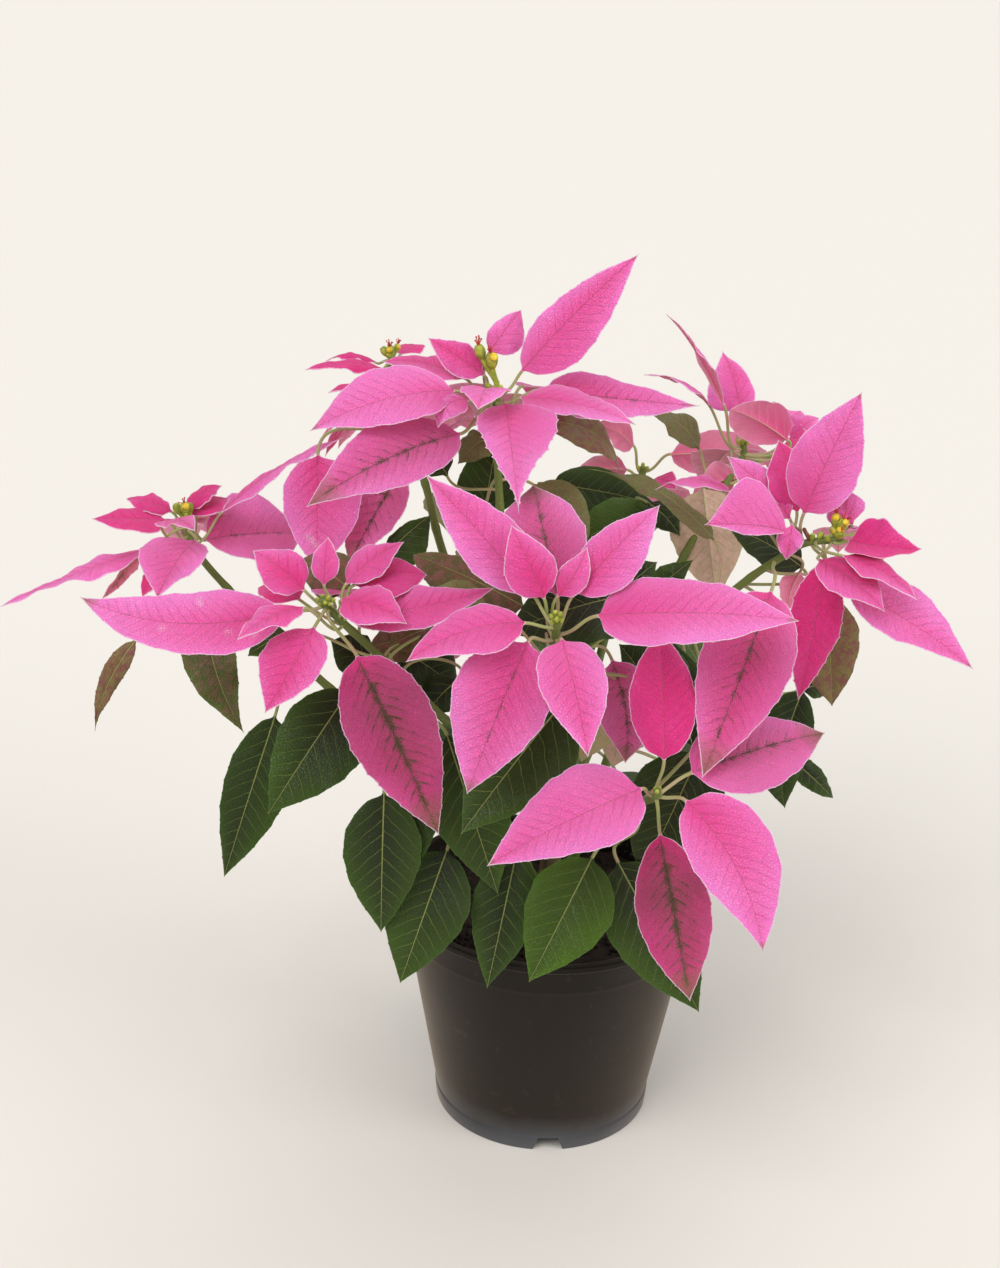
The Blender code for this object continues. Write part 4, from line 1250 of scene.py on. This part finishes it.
bract("right", (350, 616), (494, 588), 10, 30, 18, "young", bend=8)
bract("small_left", (303, 608), (237, 640), -25, 20, 5, "young")
bract("tiny", (300, 600), (258, 588), 25, 22, 20, "shaded")
green("behind", (350, 590), (298, 560), 10, 30, 30, "ruddy", depth=-30, down=30)
green("small", (290, 634), (248, 656), -5, 17, 45, "bright", depth=-50, down=45)
green("dark", (368, 665), (331, 641), 5, 24, 45, "dark", depth=-45, down=55)
green("gap_ruddy", (420, 640), (366, 650), -5, 24, 40, "ruddy", depth=-48, down=48)
green("gap_dark", (458, 680), (426, 714), -5, 22, 45, "dark", depth=-44, down=62)
green("low_dark", (398, 648), (459, 690), 10, 34, 50, "dark", depth=-40, down=60)
green("low_ruddy", (436, 628), (388, 648), -10, 26, 40, "ruddy", depth=-55, down=50)

# %% Bracts of the front head
bract = partial(grow, "front", "bract")
bract("left", (525, 623), (406, 662), -20, 32, 20, "young", belly=-0.1, rounded=0.55, bend=3)
bract("up_left", (531, 592), (425, 474), 30, 31, 55, belly=0.04, widest=0.34, drawn=1.35)
bract("up", (557, 595), (533, 485), 66, 46, 60, "veined", belly=-0.12, widest=0.45)
bract("up_right", (574, 594), (660, 505), 25, 28, 50, belly=0.15)
bract("right", (598, 616), (799, 621), -10, 42, 28, rounded=0.48, widest=0.3, drawn=1.1)
bract("down", (562, 640), (588, 757), -45, 33, 20, rounded=0.42, widest=0.34)
bract("down_left", (528, 642), (467, 794), -35, 47, 40, "fading", belly=0.05, rounded=0.5)
bract("up_small", (544, 598), (511, 525), 10, 25, 60, "young", belly=-0.05)
bract("up_right_small", (558, 596), (587, 547), 10, 15, 50, "young", bend=2)

# %% Bracts of the low right head
bract = partial(grow, "low_right", "bract")
bract("up", (664, 760), (660, 628), 45, 33, 40, "shaded", rounded=0.5, widest=0.42, depth=-129, down=12)
bract("right", (691, 773), (825, 733), 45, 44, 35, "veined", belly=0.05, rounded=0.5)
bract("down_right", (686, 801), (763, 952), -40, 42, 40, rounded=0.5, bend=-6, belly=-0.1)
bract("hanging", (660, 834), (690, 1001), -10, 37, 80, "deep", widest=0.42)
bract("left", (641, 789), (487, 866), -35, 46, 30, belly=0.05, widest=0.3, rounded=0.5)
leaf("low_right_bract_folded", "front", (612, 660), (625, 763), -5, 32, 70, "veined", side=-5, depth=-70,
     down=40, bend=-4)
leaf("low_right_leaf_olive", "front", (612, 700), (581, 762), -5, 34, -60, "olive", depth=-62, down=46)
leaf("low_right_leaf_ruddy", "front", (640, 705), (612, 768), -5, 34, -60, "ruddy", depth=-55, down=52)

# %% Bracts of the right head
bract = partial(grow, "right", "bract")
green = partial(grow, "right", "leaf")
bract("up", (804, 513), (862, 392), 10, 37, 75, side=-20, depth=-18, down=20, rounded=0.5, belly=0.0)
bract("low", (850, 590), (973, 669), -30, 36, 25, widest=0.32, belly=-0.15, depth=-32, down=10)
bract("hanging", (771, 592), (702, 778), -65, 46, 60, "rosy", depth=-70, down=38, rounded=0.5)
bract("up_shaded", (797, 512), (778, 440), 20, 30, 60, "shaded", side=20, down=24)
bract("up_left", (790, 519), (727, 456), 15, 22, 40, down=26)
bract("left", (788, 532), (704, 525), -12, 30, 55, down=28, belly=0.65, rounded=0.9, widest=0.48, drawn=1.6,
      bend=1)
bract("thin_left", (730, 492), (655, 490), 20, 20, -5, arch=6, down=32)
bract("ragged", (792, 525), (786, 560), -5, 14, 50, down=22, wave=2)
bract("back", (852, 524), (835, 491), 10, 21, 70, rounded=0.5)
bract("cupped", (849, 541), (922, 549), -10, 26, 30, "shaded", fold=25, cup=-2, bend=5, widest=0.28)
bract("narrow", (843, 556), (917, 600), -15, 22, 5, "young", depth=-42, down=14)
bract("mid", (819, 560), (885, 612), -30, 28, 20, "young")
bract("hang_shaded", (825, 562), (798, 700), -15, 28, 70, "shaded", side=5, down=16, ragged=0.2)
green("dark", (802, 568), (727, 527), 10, 30, 30, "dark", depth=22, down=60)
green("twisted", (714, 540), (588, 469), 30, 22, 4, "olive", depth=20, down=75, arch=9, wave=2, widest=0.24,
      drawn=1.9)
green("brown", (826, 596), (832, 706), -10, 36, 65, "tan", depth=12, down=45, belly=0.1)
green("dusty", (800, 572), (787, 612), -5, 16, -60, "dusty", depth=0, down=30)
green("tip_up", (800, 690), (829, 691), 10, 14, 30, "green", depth=28, down=80)
green("tip_low", (788, 756), (833, 798), 5, 14, 60, "green", depth=32, down=90, drawn=1.0)
green("behind_left", (668, 712), (619, 644), 10, 36, 50, "dark", belly=0.3, depth=-35, down=105)
green("behind_up", (692, 745), (672, 640), 15, 36, 60, "dark", depth=-30, down=100)
leaf("right_leaf_behind_low", "low_right", (700, 752), (640, 880), -20, 50, 60, "dark", depth=-60, down=45)

# %% Bracts of the heads at the back
bract = partial(grow, "back_right", "bract")
green = partial(grow, "back_right", "leaf")
bract("edge", (724, 405), (666, 314), -10, 30, -18, side=50, fold=12, bend=10)
bract("up", (740, 414), (722, 351), 25, 27, 50, widest=0.24, drawn=1.4, bend=1, belly=-0.25, rounded=0.5)
bract("front", (788, 440), (730, 410), -14, 30, -72, "young", rounded=0.5, widest=0.45, drawn=0.9)
bract("thin", (709, 405), (644, 375), 0, 16, -15, arch=5, bend=-5)
bract("low", (738, 478), (692, 496), -12, 26, -75, "dusty", depth=75, down=24)
green("hanging", (703, 488), (716, 600), -8, 42, -80, "tan", depth=58, down=35)
green("mauve", (699, 449), (650, 413), 12, 24, 12, "olive", depth=92, down=30, arch=6)
bract("far_1", (786, 434), (801, 411), 12, 20, 20, depth=112, down=6)
bract("far_2", (792, 442), (819, 418), 8, 24, 20, depth=108, down=7)
bract("far_3", (784, 446), (812, 444), -10, 22, 20, "shaded", depth=104, down=9)
bract = partial(grow, "back", "bract")
green = partial(grow, "back", "leaf")
bract("far", (670, 454), (782, 462), 10, 32, -75, "dusty")
bract("up", (634, 446), (594, 424), 12, 28, -60, "dusty")
bract("left", (628, 470), (573, 476), 0, 26, -62, "dusty")
bract("front", (650, 483), (677, 490), -25, 20, 35, "shaded")
green("dark", (648, 503), (680, 536), -15, 18, 40, "dark", depth=70, down=45)
green("wide", (551, 484), (657, 505), 12, 28, 50, "green", depth=95, down=40)
green("bright", (654, 514), (566, 546), -20, 32, 45, "bright", depth=75, down=55)

# %% [markdown]
# ## The green leaves
# The oldest leaves stay green. They grow low on the branches and hang out over the rim, so their stalks
# start far below the flower heads and each call gives that distance. They could hang from their own
# head's cell too, but many of them show in front of another head, so they are together here.

# %% Green leaves
leaf("left_leaf_outer", "far_left", (275, 716), (224, 877), -15, 35, 70, "green", depth=-22, down=95,
     belly=-0.12, vein=7.5)
leaf("left_leaf_inner", "left", (350, 690), (268, 814), -30, 44, 60, "green", depth=-70, down=50, vein=7.5,
     belly=-0.12)
leaf("rim_leaf_far_left", "left", (384, 793), (381, 932), -12, 40, 70, "green", depth=-88, down=80,
     vein=7.5)
leaf("rim_leaf_left", "left", (447, 850), (400, 983), -20, 43, 60, "green", depth=-80, down=95, vein=7.5,
     sap=[(0.55, 0.3)])
leaf("front_leaf_large", "front", (565, 700), (461, 834), -40, 50, 50, "green", depth=-98, down=70,
     vein=8.5)
leaf("rim_leaf_front", "low_right", (592, 858), (529, 982), -30, 45, 60, "bright", depth=-84, down=60,
     vein=7.5, belly=-0.05)
leaf("rim_leaf_right", "low_right", (618, 862), (699, 1012), -20, 46, 65, "green", depth=-80, down=45,
     vein=7.5)
leaf("right_leaf", "right", (803, 690), (785, 808), 10, 34, 70, "green", depth=25, down=60, bend=6,
     belly=0.15)
leaf("rim_leaf_behind_left", "left", (418, 790), (388, 884), -10, 30, 60, "green", depth=-82, down=85)
leaf("rim_leaf_middle_left", "left", (447, 735), (498, 894), -25, 42, 60, "green", depth=-66, down=70,
     vein=7.5)
leaf("rim_leaf_middle", "front", (517, 850), (487, 988), -20, 34, 65, "green", depth=-76, down=90, vein=7.5)
leaf("front_leaf_under", "front", (645, 592), (505, 634), -10, 56, 25, "dark", depth=-62, down=50, vein=8)
leaf("front_leaf_right_tip", "back_right", (648, 600), (693, 560), 0, 18, 45, "green", depth=20, down=120)
leaf("front_leaf_right_dark", "right", (612, 604), (657, 562), 0, 30, 45, "dark", depth=-45, down=110)
leaf("front_leaf_ruddy", "front", (524, 607), (413, 555), 6, 30, 42, "ruddy", depth=-44, down=35, drawn=0.8,
     belly=-0.3)
leaf("front_leaf_olive", "front", (487, 606), (420, 596), -5, 21, 45, "olive", depth=-62, down=40)
leaf("top_leaf_behind", "top", (484, 515), (497, 439), 18, 34, 60, "green", depth=42, down=50)
leaf("top_leaf_olive_left", "top", (492, 437), (458, 464), -5, 20, 30, "olive", depth=48, down=22)
leaf("top_leaf_small_dark", "top", (447, 476), (427, 460), 8, 18, 20, "green", depth=34, down=55)
leaf("top_leaf_olive_right", "top", (534, 485), (582, 560), -25, 29, 50, "olive", depth=24, down=50,
     bend=-4)
leaf("top_leaf_drooping", "top", (548, 422), (619, 470), 6, 34, 15, "tan", depth=48, down=30, arch=10,
     belly=0.1, rounded=0.4)
leaf("top_left_leaf_dark", "top_left", (386, 556), (431, 515), 6, 22, 50, "green", depth=35, down=50,
     belly=0.45)

# %% [markdown]
# ## The hidden side
# The picture shows one side only, and a real plant is leafy all round. The far side could be a mirror
# of the near one, but its branches differ. So it has leaves of its own, as places in millimetres from
# the foot of the pot's axis, because there is no pixel to read.

# %% Leaves on the hidden side
hidden("leaf_left", "top_left", (-46, 66, 200), (-74, 120, 124), 48, -58, 205, 8, "green")
hidden("leaf_middle", "back", (14, 92, 200), (6, 146, 122), 50, -60, 150, 8, "green")
hidden("leaf_right", "back_right", (60, 72, 204), (90, 122, 128), 48, -58, 165, 8, "green", side=20)
hidden("leaf_far_left", "far_left", (-66, 34, 190), (-78, 100, 124), 44, -50, 200, 8, "green", side=-30,
       vein=7.5)
hidden("leaf_low_left", "top_left", (-22, 62, 178), (-30, 116, 104), 46, -60, 228, 8, "dark", vein=7.5)
hidden("leaf_low_right", "back_right", (38, 62, 176), (48, 114, 104), 44, -60, 190, 8, "green", vein=7.5)
hidden("leaf_side_right", "right", (72, 20, 200), (118, 58, 130), 46, -35, 185, 8, "green", side=45,
       vein=7.5)
hidden("leaf_side_left", "far_left", (-118, 40, 214), (-160, 78, 152), 42, -45, 150, 8, "dark", side=-40)
hidden("leaf_upper_left", "top", (-50, 36, 262), (-92, 84, 210), 40, -50, 150, 7, side=-25)
hidden("leaf_upper_middle", "top", (0, 40, 276), (14, 104, 218), 40, -50, 130, 7, "green")
hidden("leaf_upper", "top", (-36, 44, 318), (-48, 108, 266), 36, -50, 95, 7, "mottled")
hidden("leaf_far_middle", "back", (24, 132, 262), (-12, 166, 200), 40, -60, 60, 6, "green")
hidden("leaf_far_right", "back", (58, 112, 254), (94, 150, 196), 42, -55, 80, 7, "bright", side=20)
hidden("leaf_high_right", "back_right", (98, 96, 330), (118, 138, 288), 32, -50, 52, 5, "olive", side=20)
hidden("leaf_high_left", "top_left", (-66, 112, 328), (-52, 158, 272), 36, -55, 72, 6, "mottled")
hidden("leaf_right_low", "right", (84, 4, 258), (124, 40, 202), 40, -30, 150, 7, "green", side=50)
hidden("leaf_left_low", "far_left", (-98, 22, 248), (-138, 68, 202), 38, -40, 125, 7, "green", side=-40)
hidden("bract_hidden_left", "top", (-42, 44, 414), (-60, 90, 374), 32, -45, 22, 5)
hidden("bract_hidden_right", "top", (-24, 44, 414), (4, 90, 380), 32, -45, 24, 5, side=20)
hidden("bract_hidden_middle", "top", (-36, 48, 408), (-32, 100, 362), 36, -50, 28, 5, "fading")
hidden("bract_high_left", "top_left", (-96, 120, 388), (-110, 160, 348), 34, -50, 24, 5)
hidden("bract_high_middle", "top_left", (-84, 122, 380), (-66, 160, 340), 32, -50, 28, 5, "fading")
hidden("bract_right_far", "back_right", (112, 98, 362), (134, 142, 326), 32, -50, 14, 5, side=20)
hidden("bract_right_middle", "back_right", (94, 100, 362), (86, 148, 320), 34, -55, 16, 5, "fading")
hidden("bract_low_middle", "back", (40, 160, 320), (18, 174, 284), 28, -70, 12, 4)
hidden("bract_low_right", "back", (58, 158, 320), (78, 172, 286), 26, -65, 13, 4, side=15)
hidden("bract_far_left", "far_left", (-198, 38, 336), (-190, 82, 304), 30, -45, 12, 5)
hidden("bract_far_left_low", "far_left", (-208, 36, 334), (-214, 80, 300), 28, -45, 14, 5)
hidden("bract_right_low", "right", (146, 2, 354), (152, 50, 322), 30, -45, 14, 5)
hidden("bract_right_side", "right", (156, 0, 354), (176, 46, 320), 28, -40, 12, 5, side=25)
hidden("bract_left_head", "left", (-118, -68, 338), (-104, -24, 312), 30, -35, 14, 5)
print("leaves:", len(leaf_names))

# %% [markdown]
# ## Flower cups
# A poinsettia's flowers are small urns, the cyathia. Each has a green cup, a yellow gland like a pair of
# lips on its side and a few red stamens. They stand in a tight bunch on the branch tip.


# %% Cyathia
def lathe(foot, axis, profile, sides=14):
    """A closed tube whose rings stand on an axis: profile rows are (height, radius)."""
    profile = np.array(profile)
    path = foot + profile[:, :1] * axis
    way = np.cross(axis, (0.3, 0.9, 0.1))
    right = unit(way)
    up = np.cross(right, axis)
    turn_round = np.pi - (np.arange(sides) + 0.5) * 2 * np.pi / sides
    section = np.cos(turn_round)[:, None] * right + np.sin(turn_round)[:, None] * up
    points, faces = skin_over(path[:, None] + profile[:, 1, None, None] * section)
    return {"points": points, "faces": faces}


URN_LENGTH = 1.25
GLAND_OPENS = 0.2
MOST_STAMENS = 9
FLOWER_SEED = 21
# Each flower is (pixel, depth in mm, size in mm, ripeness), and a scar is (pixel, depth in mm)
FLOWERS = {
    "top": [((478, 345), 24, 6.0, 0.7), ((491, 353), 20, 6.4, 0.6), ((486, 384), 15, 2.6, 0),
            ((493, 388), 10, 2.6, 0), ((501, 386), 14, 3.0, 0), ((508, 390), 20, 2.4, 0),
            ((497, 380), 24, 2.8, 0)],
    "top_left": [((382, 347), 102, 4.6, 0), ((390, 346), 98, 4.6, 0.9), ((398, 344), 104, 3.8, 0.9),
                 ((388, 354), 96, 2.8, 0)],
    "far_left": [((175, 504), 20, 5.0, 0), ((184, 503), 16, 5.2, 0.35), ((190, 503), 22, 4.0, 0),
                 ((186, 514), 14, 2.4, 0)],
    "left": [((316, 598), -90, 2.2, 0), ((322, 594), -88, 2.6, 0), ((329, 596), -92, 2.4, 0),
             ((335, 599), -90, 2.2, 0), ((325, 602), -96, 2.2, 0), ((319, 604), -94, 1.8, 0),
             ((331, 604), -95, 2.0, 0)],
    "front": [((550, 614), -120, 2.2, 0), ((555, 610), -118, 2.6, 0), ((561, 612), -120, 2.4, 0),
              ((557, 618), -126, 2.6, 0), ((551, 621), -124, 2.0, 0), ((563, 619), -122, 2.0, 0)],
    "right": [((836, 514), -22, 5.4, 0.6), ((844, 520), -25, 5.4, 0.8), ((841, 532), -28, 5.2, 0.3),
              ((832, 526), -20, 4.8, 0.3), ((821, 532), -22, 3.6, 0), ((813, 534), -24, 3.0, 0),
              ((828, 537), -26, 3.2, 0)],
    "back_right": [((737, 440), 80, 2.4, 0), ((743, 438), 78, 2.8, 0), ((749, 441), 80, 2.4, 0),
                   ((775, 405), 110, 3.0, 0.8)],
    "back": [((637, 466), 150, 2.2, 0), ((643, 463), 148, 2.4, 0), ((649, 467), 150, 2.2, 0)],
    "low_right": [((655, 787), -140, 2.4, 0), ((660, 786), -138, 2.4, 0), ((657, 791), -145, 2.2, 0)],
}
SCARS = {"right": [((796, 528), -22), ((800, 531), -24), ((804, 529), -21), ((807, 534), -25)]}


def cyathium(foot, top, size, ripe, luck):
    """One flower from a foot on the branch to the top of its cup: a stalk, an urn, a gland on the urn's side
    and stamens if it is ripe."""
    gone = np.linalg.norm(top - foot)
    axis = unit(top - foot + UP * 0.3 * gone)
    base = top - axis * size * URN_LENGTH
    t = np.linspace(0, 1, 14)
    radius = size * 0.5 * (0.25 + 0.75 * np.sin(np.pi * (0.08 + 0.80 * t)) ** 0.8)
    urn = np.stack([t * size * URN_LENGTH, radius], axis=1)
    pulls = foot + UP * gone * 0.3, base - axis * gone * 0.3
    bent = bow(foot, *pulls, base + axis * 0.3 * MM, np.linspace(0, 1, 10))
    points, faces = skin_over(round_rings(bent, np.full(10, min(size * 0.28, 1.3 * MM)), 10))
    parts = [{**lathe(base, axis, urn), "worn": 0}, {"points": points, "faces": faces, "worn": 0}]
    if ripe > GLAND_OPENS:
        out = unit((0.2, -0.9, 0.2) + 0.35 * luck.normal(size=3))
        lip = base + axis * size * 0.95 + out * size * 0.38
        t = np.linspace(0.02, 0.98, 9)
        cup = np.stack([(t - 0.5) * size * 0.5, size * 0.38 * np.sin(np.pi * t) ** 0.6], axis=1)
        parts.append({**lathe(lip, unit(out + 0.8 * axis), cup, 12), "worn": 1})
    for each in range(int(ripe * MOST_STAMENS)):
        lean_out = unit(axis + 0.35 * luck.normal(size=3))
        root = base + axis * size * 1.15
        reach = size * luck.uniform(0.35, 0.8)
        thread = [(0, 0.05 * size), (reach, 0.05 * size)]
        parts.append({**lathe(root, lean_out, thread, 6), "worn": 2})
        t = np.linspace(0.03, 0.97, 6)
        head = np.stack([reach + t * 0.22 * size, 0.09 * size * np.sin(np.pi * t) ** 0.7], axis=1)
        parts.append({**lathe(root, lean_out, head, 8), "worn": 2})
    return parts


def flower_bunch(head, seed):
    """The flowers of one head, each on its own stalk from the branch tip, and corky scars of fallen ones."""
    luck = np.random.default_rng(seed)
    path = branch_path(head)
    parts = []
    for pixel, depth, size, ripe in FLOWERS[head]:
        top = seen_at(pixel, depth)
        nearest = path[np.linalg.norm(path - top, axis=1).argmin()]
        foot = path[-1] - UP * 1.0 * MM if head != "right" else nearest
        parts += cyathium(foot, top, size * MM, ripe, luck)
    for pixel, depth in SCARS.get(head, []):
        at = seen_at(pixel, depth)
        nearest = path[np.linalg.norm(path - at, axis=1).argmin()]
        gone = np.linalg.norm(at - nearest)
        stub = [(0, 0.9 * MM), (gone, 1.1 * MM), (gone + 0.6 * MM, 0.6 * MM)]
        parts.append({**lathe(nearest, unit(at - nearest), stub, 10), "worn": 3})
    add_piece(f"{head}_flower_cups", parts, [CUP, GLAND, STAMEN, SCAR],
              f"{head}_flower_cluster" if head != "back" else None)


for number, each_head in enumerate(FLOWERS):
    flower_bunch(each_head, FLOWER_SEED + number)
print("flower bunches:", len(FLOWERS))
all_meshes = (each for each in bpy.data.objects if each.type == "MESH")
own_meshes = [each.data for each in all_meshes if each.name not in frame["nodes"]]
for mesh in own_meshes:
    mesh.calc_loop_triangles()
print("triangles:", sum(len(mesh.loop_triangles) for mesh in own_meshes))

# %% [markdown]
# ## Floor and light
# The floor is one wide pale sheet. A broad soft light hangs above and in front, a second comes from the
# right, and the sky fills the shadows.

# %% Stage
FLOOR_SIDE = 30.0


def matte_paint():
    """Matte wall paint, a warm off-white."""
    made, _, skin = new_material("matte_paint")
    feed(skin, {"Base Color": "#E5E0D8", "Roughness": 0.9})
    return made


mesh = bpy.data.meshes.new("floor")
corner = FLOOR_SIDE / 2
mesh.from_pydata([(-corner, -corner, 0), (corner, -corner, 0), (corner, corner, 0), (-corner, corner, 0)], [],
                 [(0, 1, 2, 3)])
mesh.materials.append(matte_paint())
floor = bpy.data.objects.new("floor", mesh)
bpy.context.collection.objects.link(floor)


def wide_sun(name, heading, height, strength, spread):
    """Light from one side of the sky: heading and height in degrees, spread over a wide angle so that its
    shadows are soft."""
    lamp = bpy.data.lights.new(name, "SUN")
    lamp.energy = strength
    lamp.angle = np.radians(spread)
    made = bpy.data.objects.new(name, lamp)
    made.rotation_euler = (np.radians(90 - height), 0, np.radians(heading))
    bpy.context.collection.objects.link(made)


wide_sun("key_light", -32, 46, 1.75, 40)
wide_sun("top_light", 165, 60, 0.75, 50)
wide_sun("side_light", 62, 24, 1.3, 40)
world = bpy.context.scene.world or bpy.data.worlds.new("world")
bpy.context.scene.world = world
world.use_nodes = True
feed(world.node_tree.nodes["Background"], {"Color": "#FFFFFF", "Strength": 0.41})
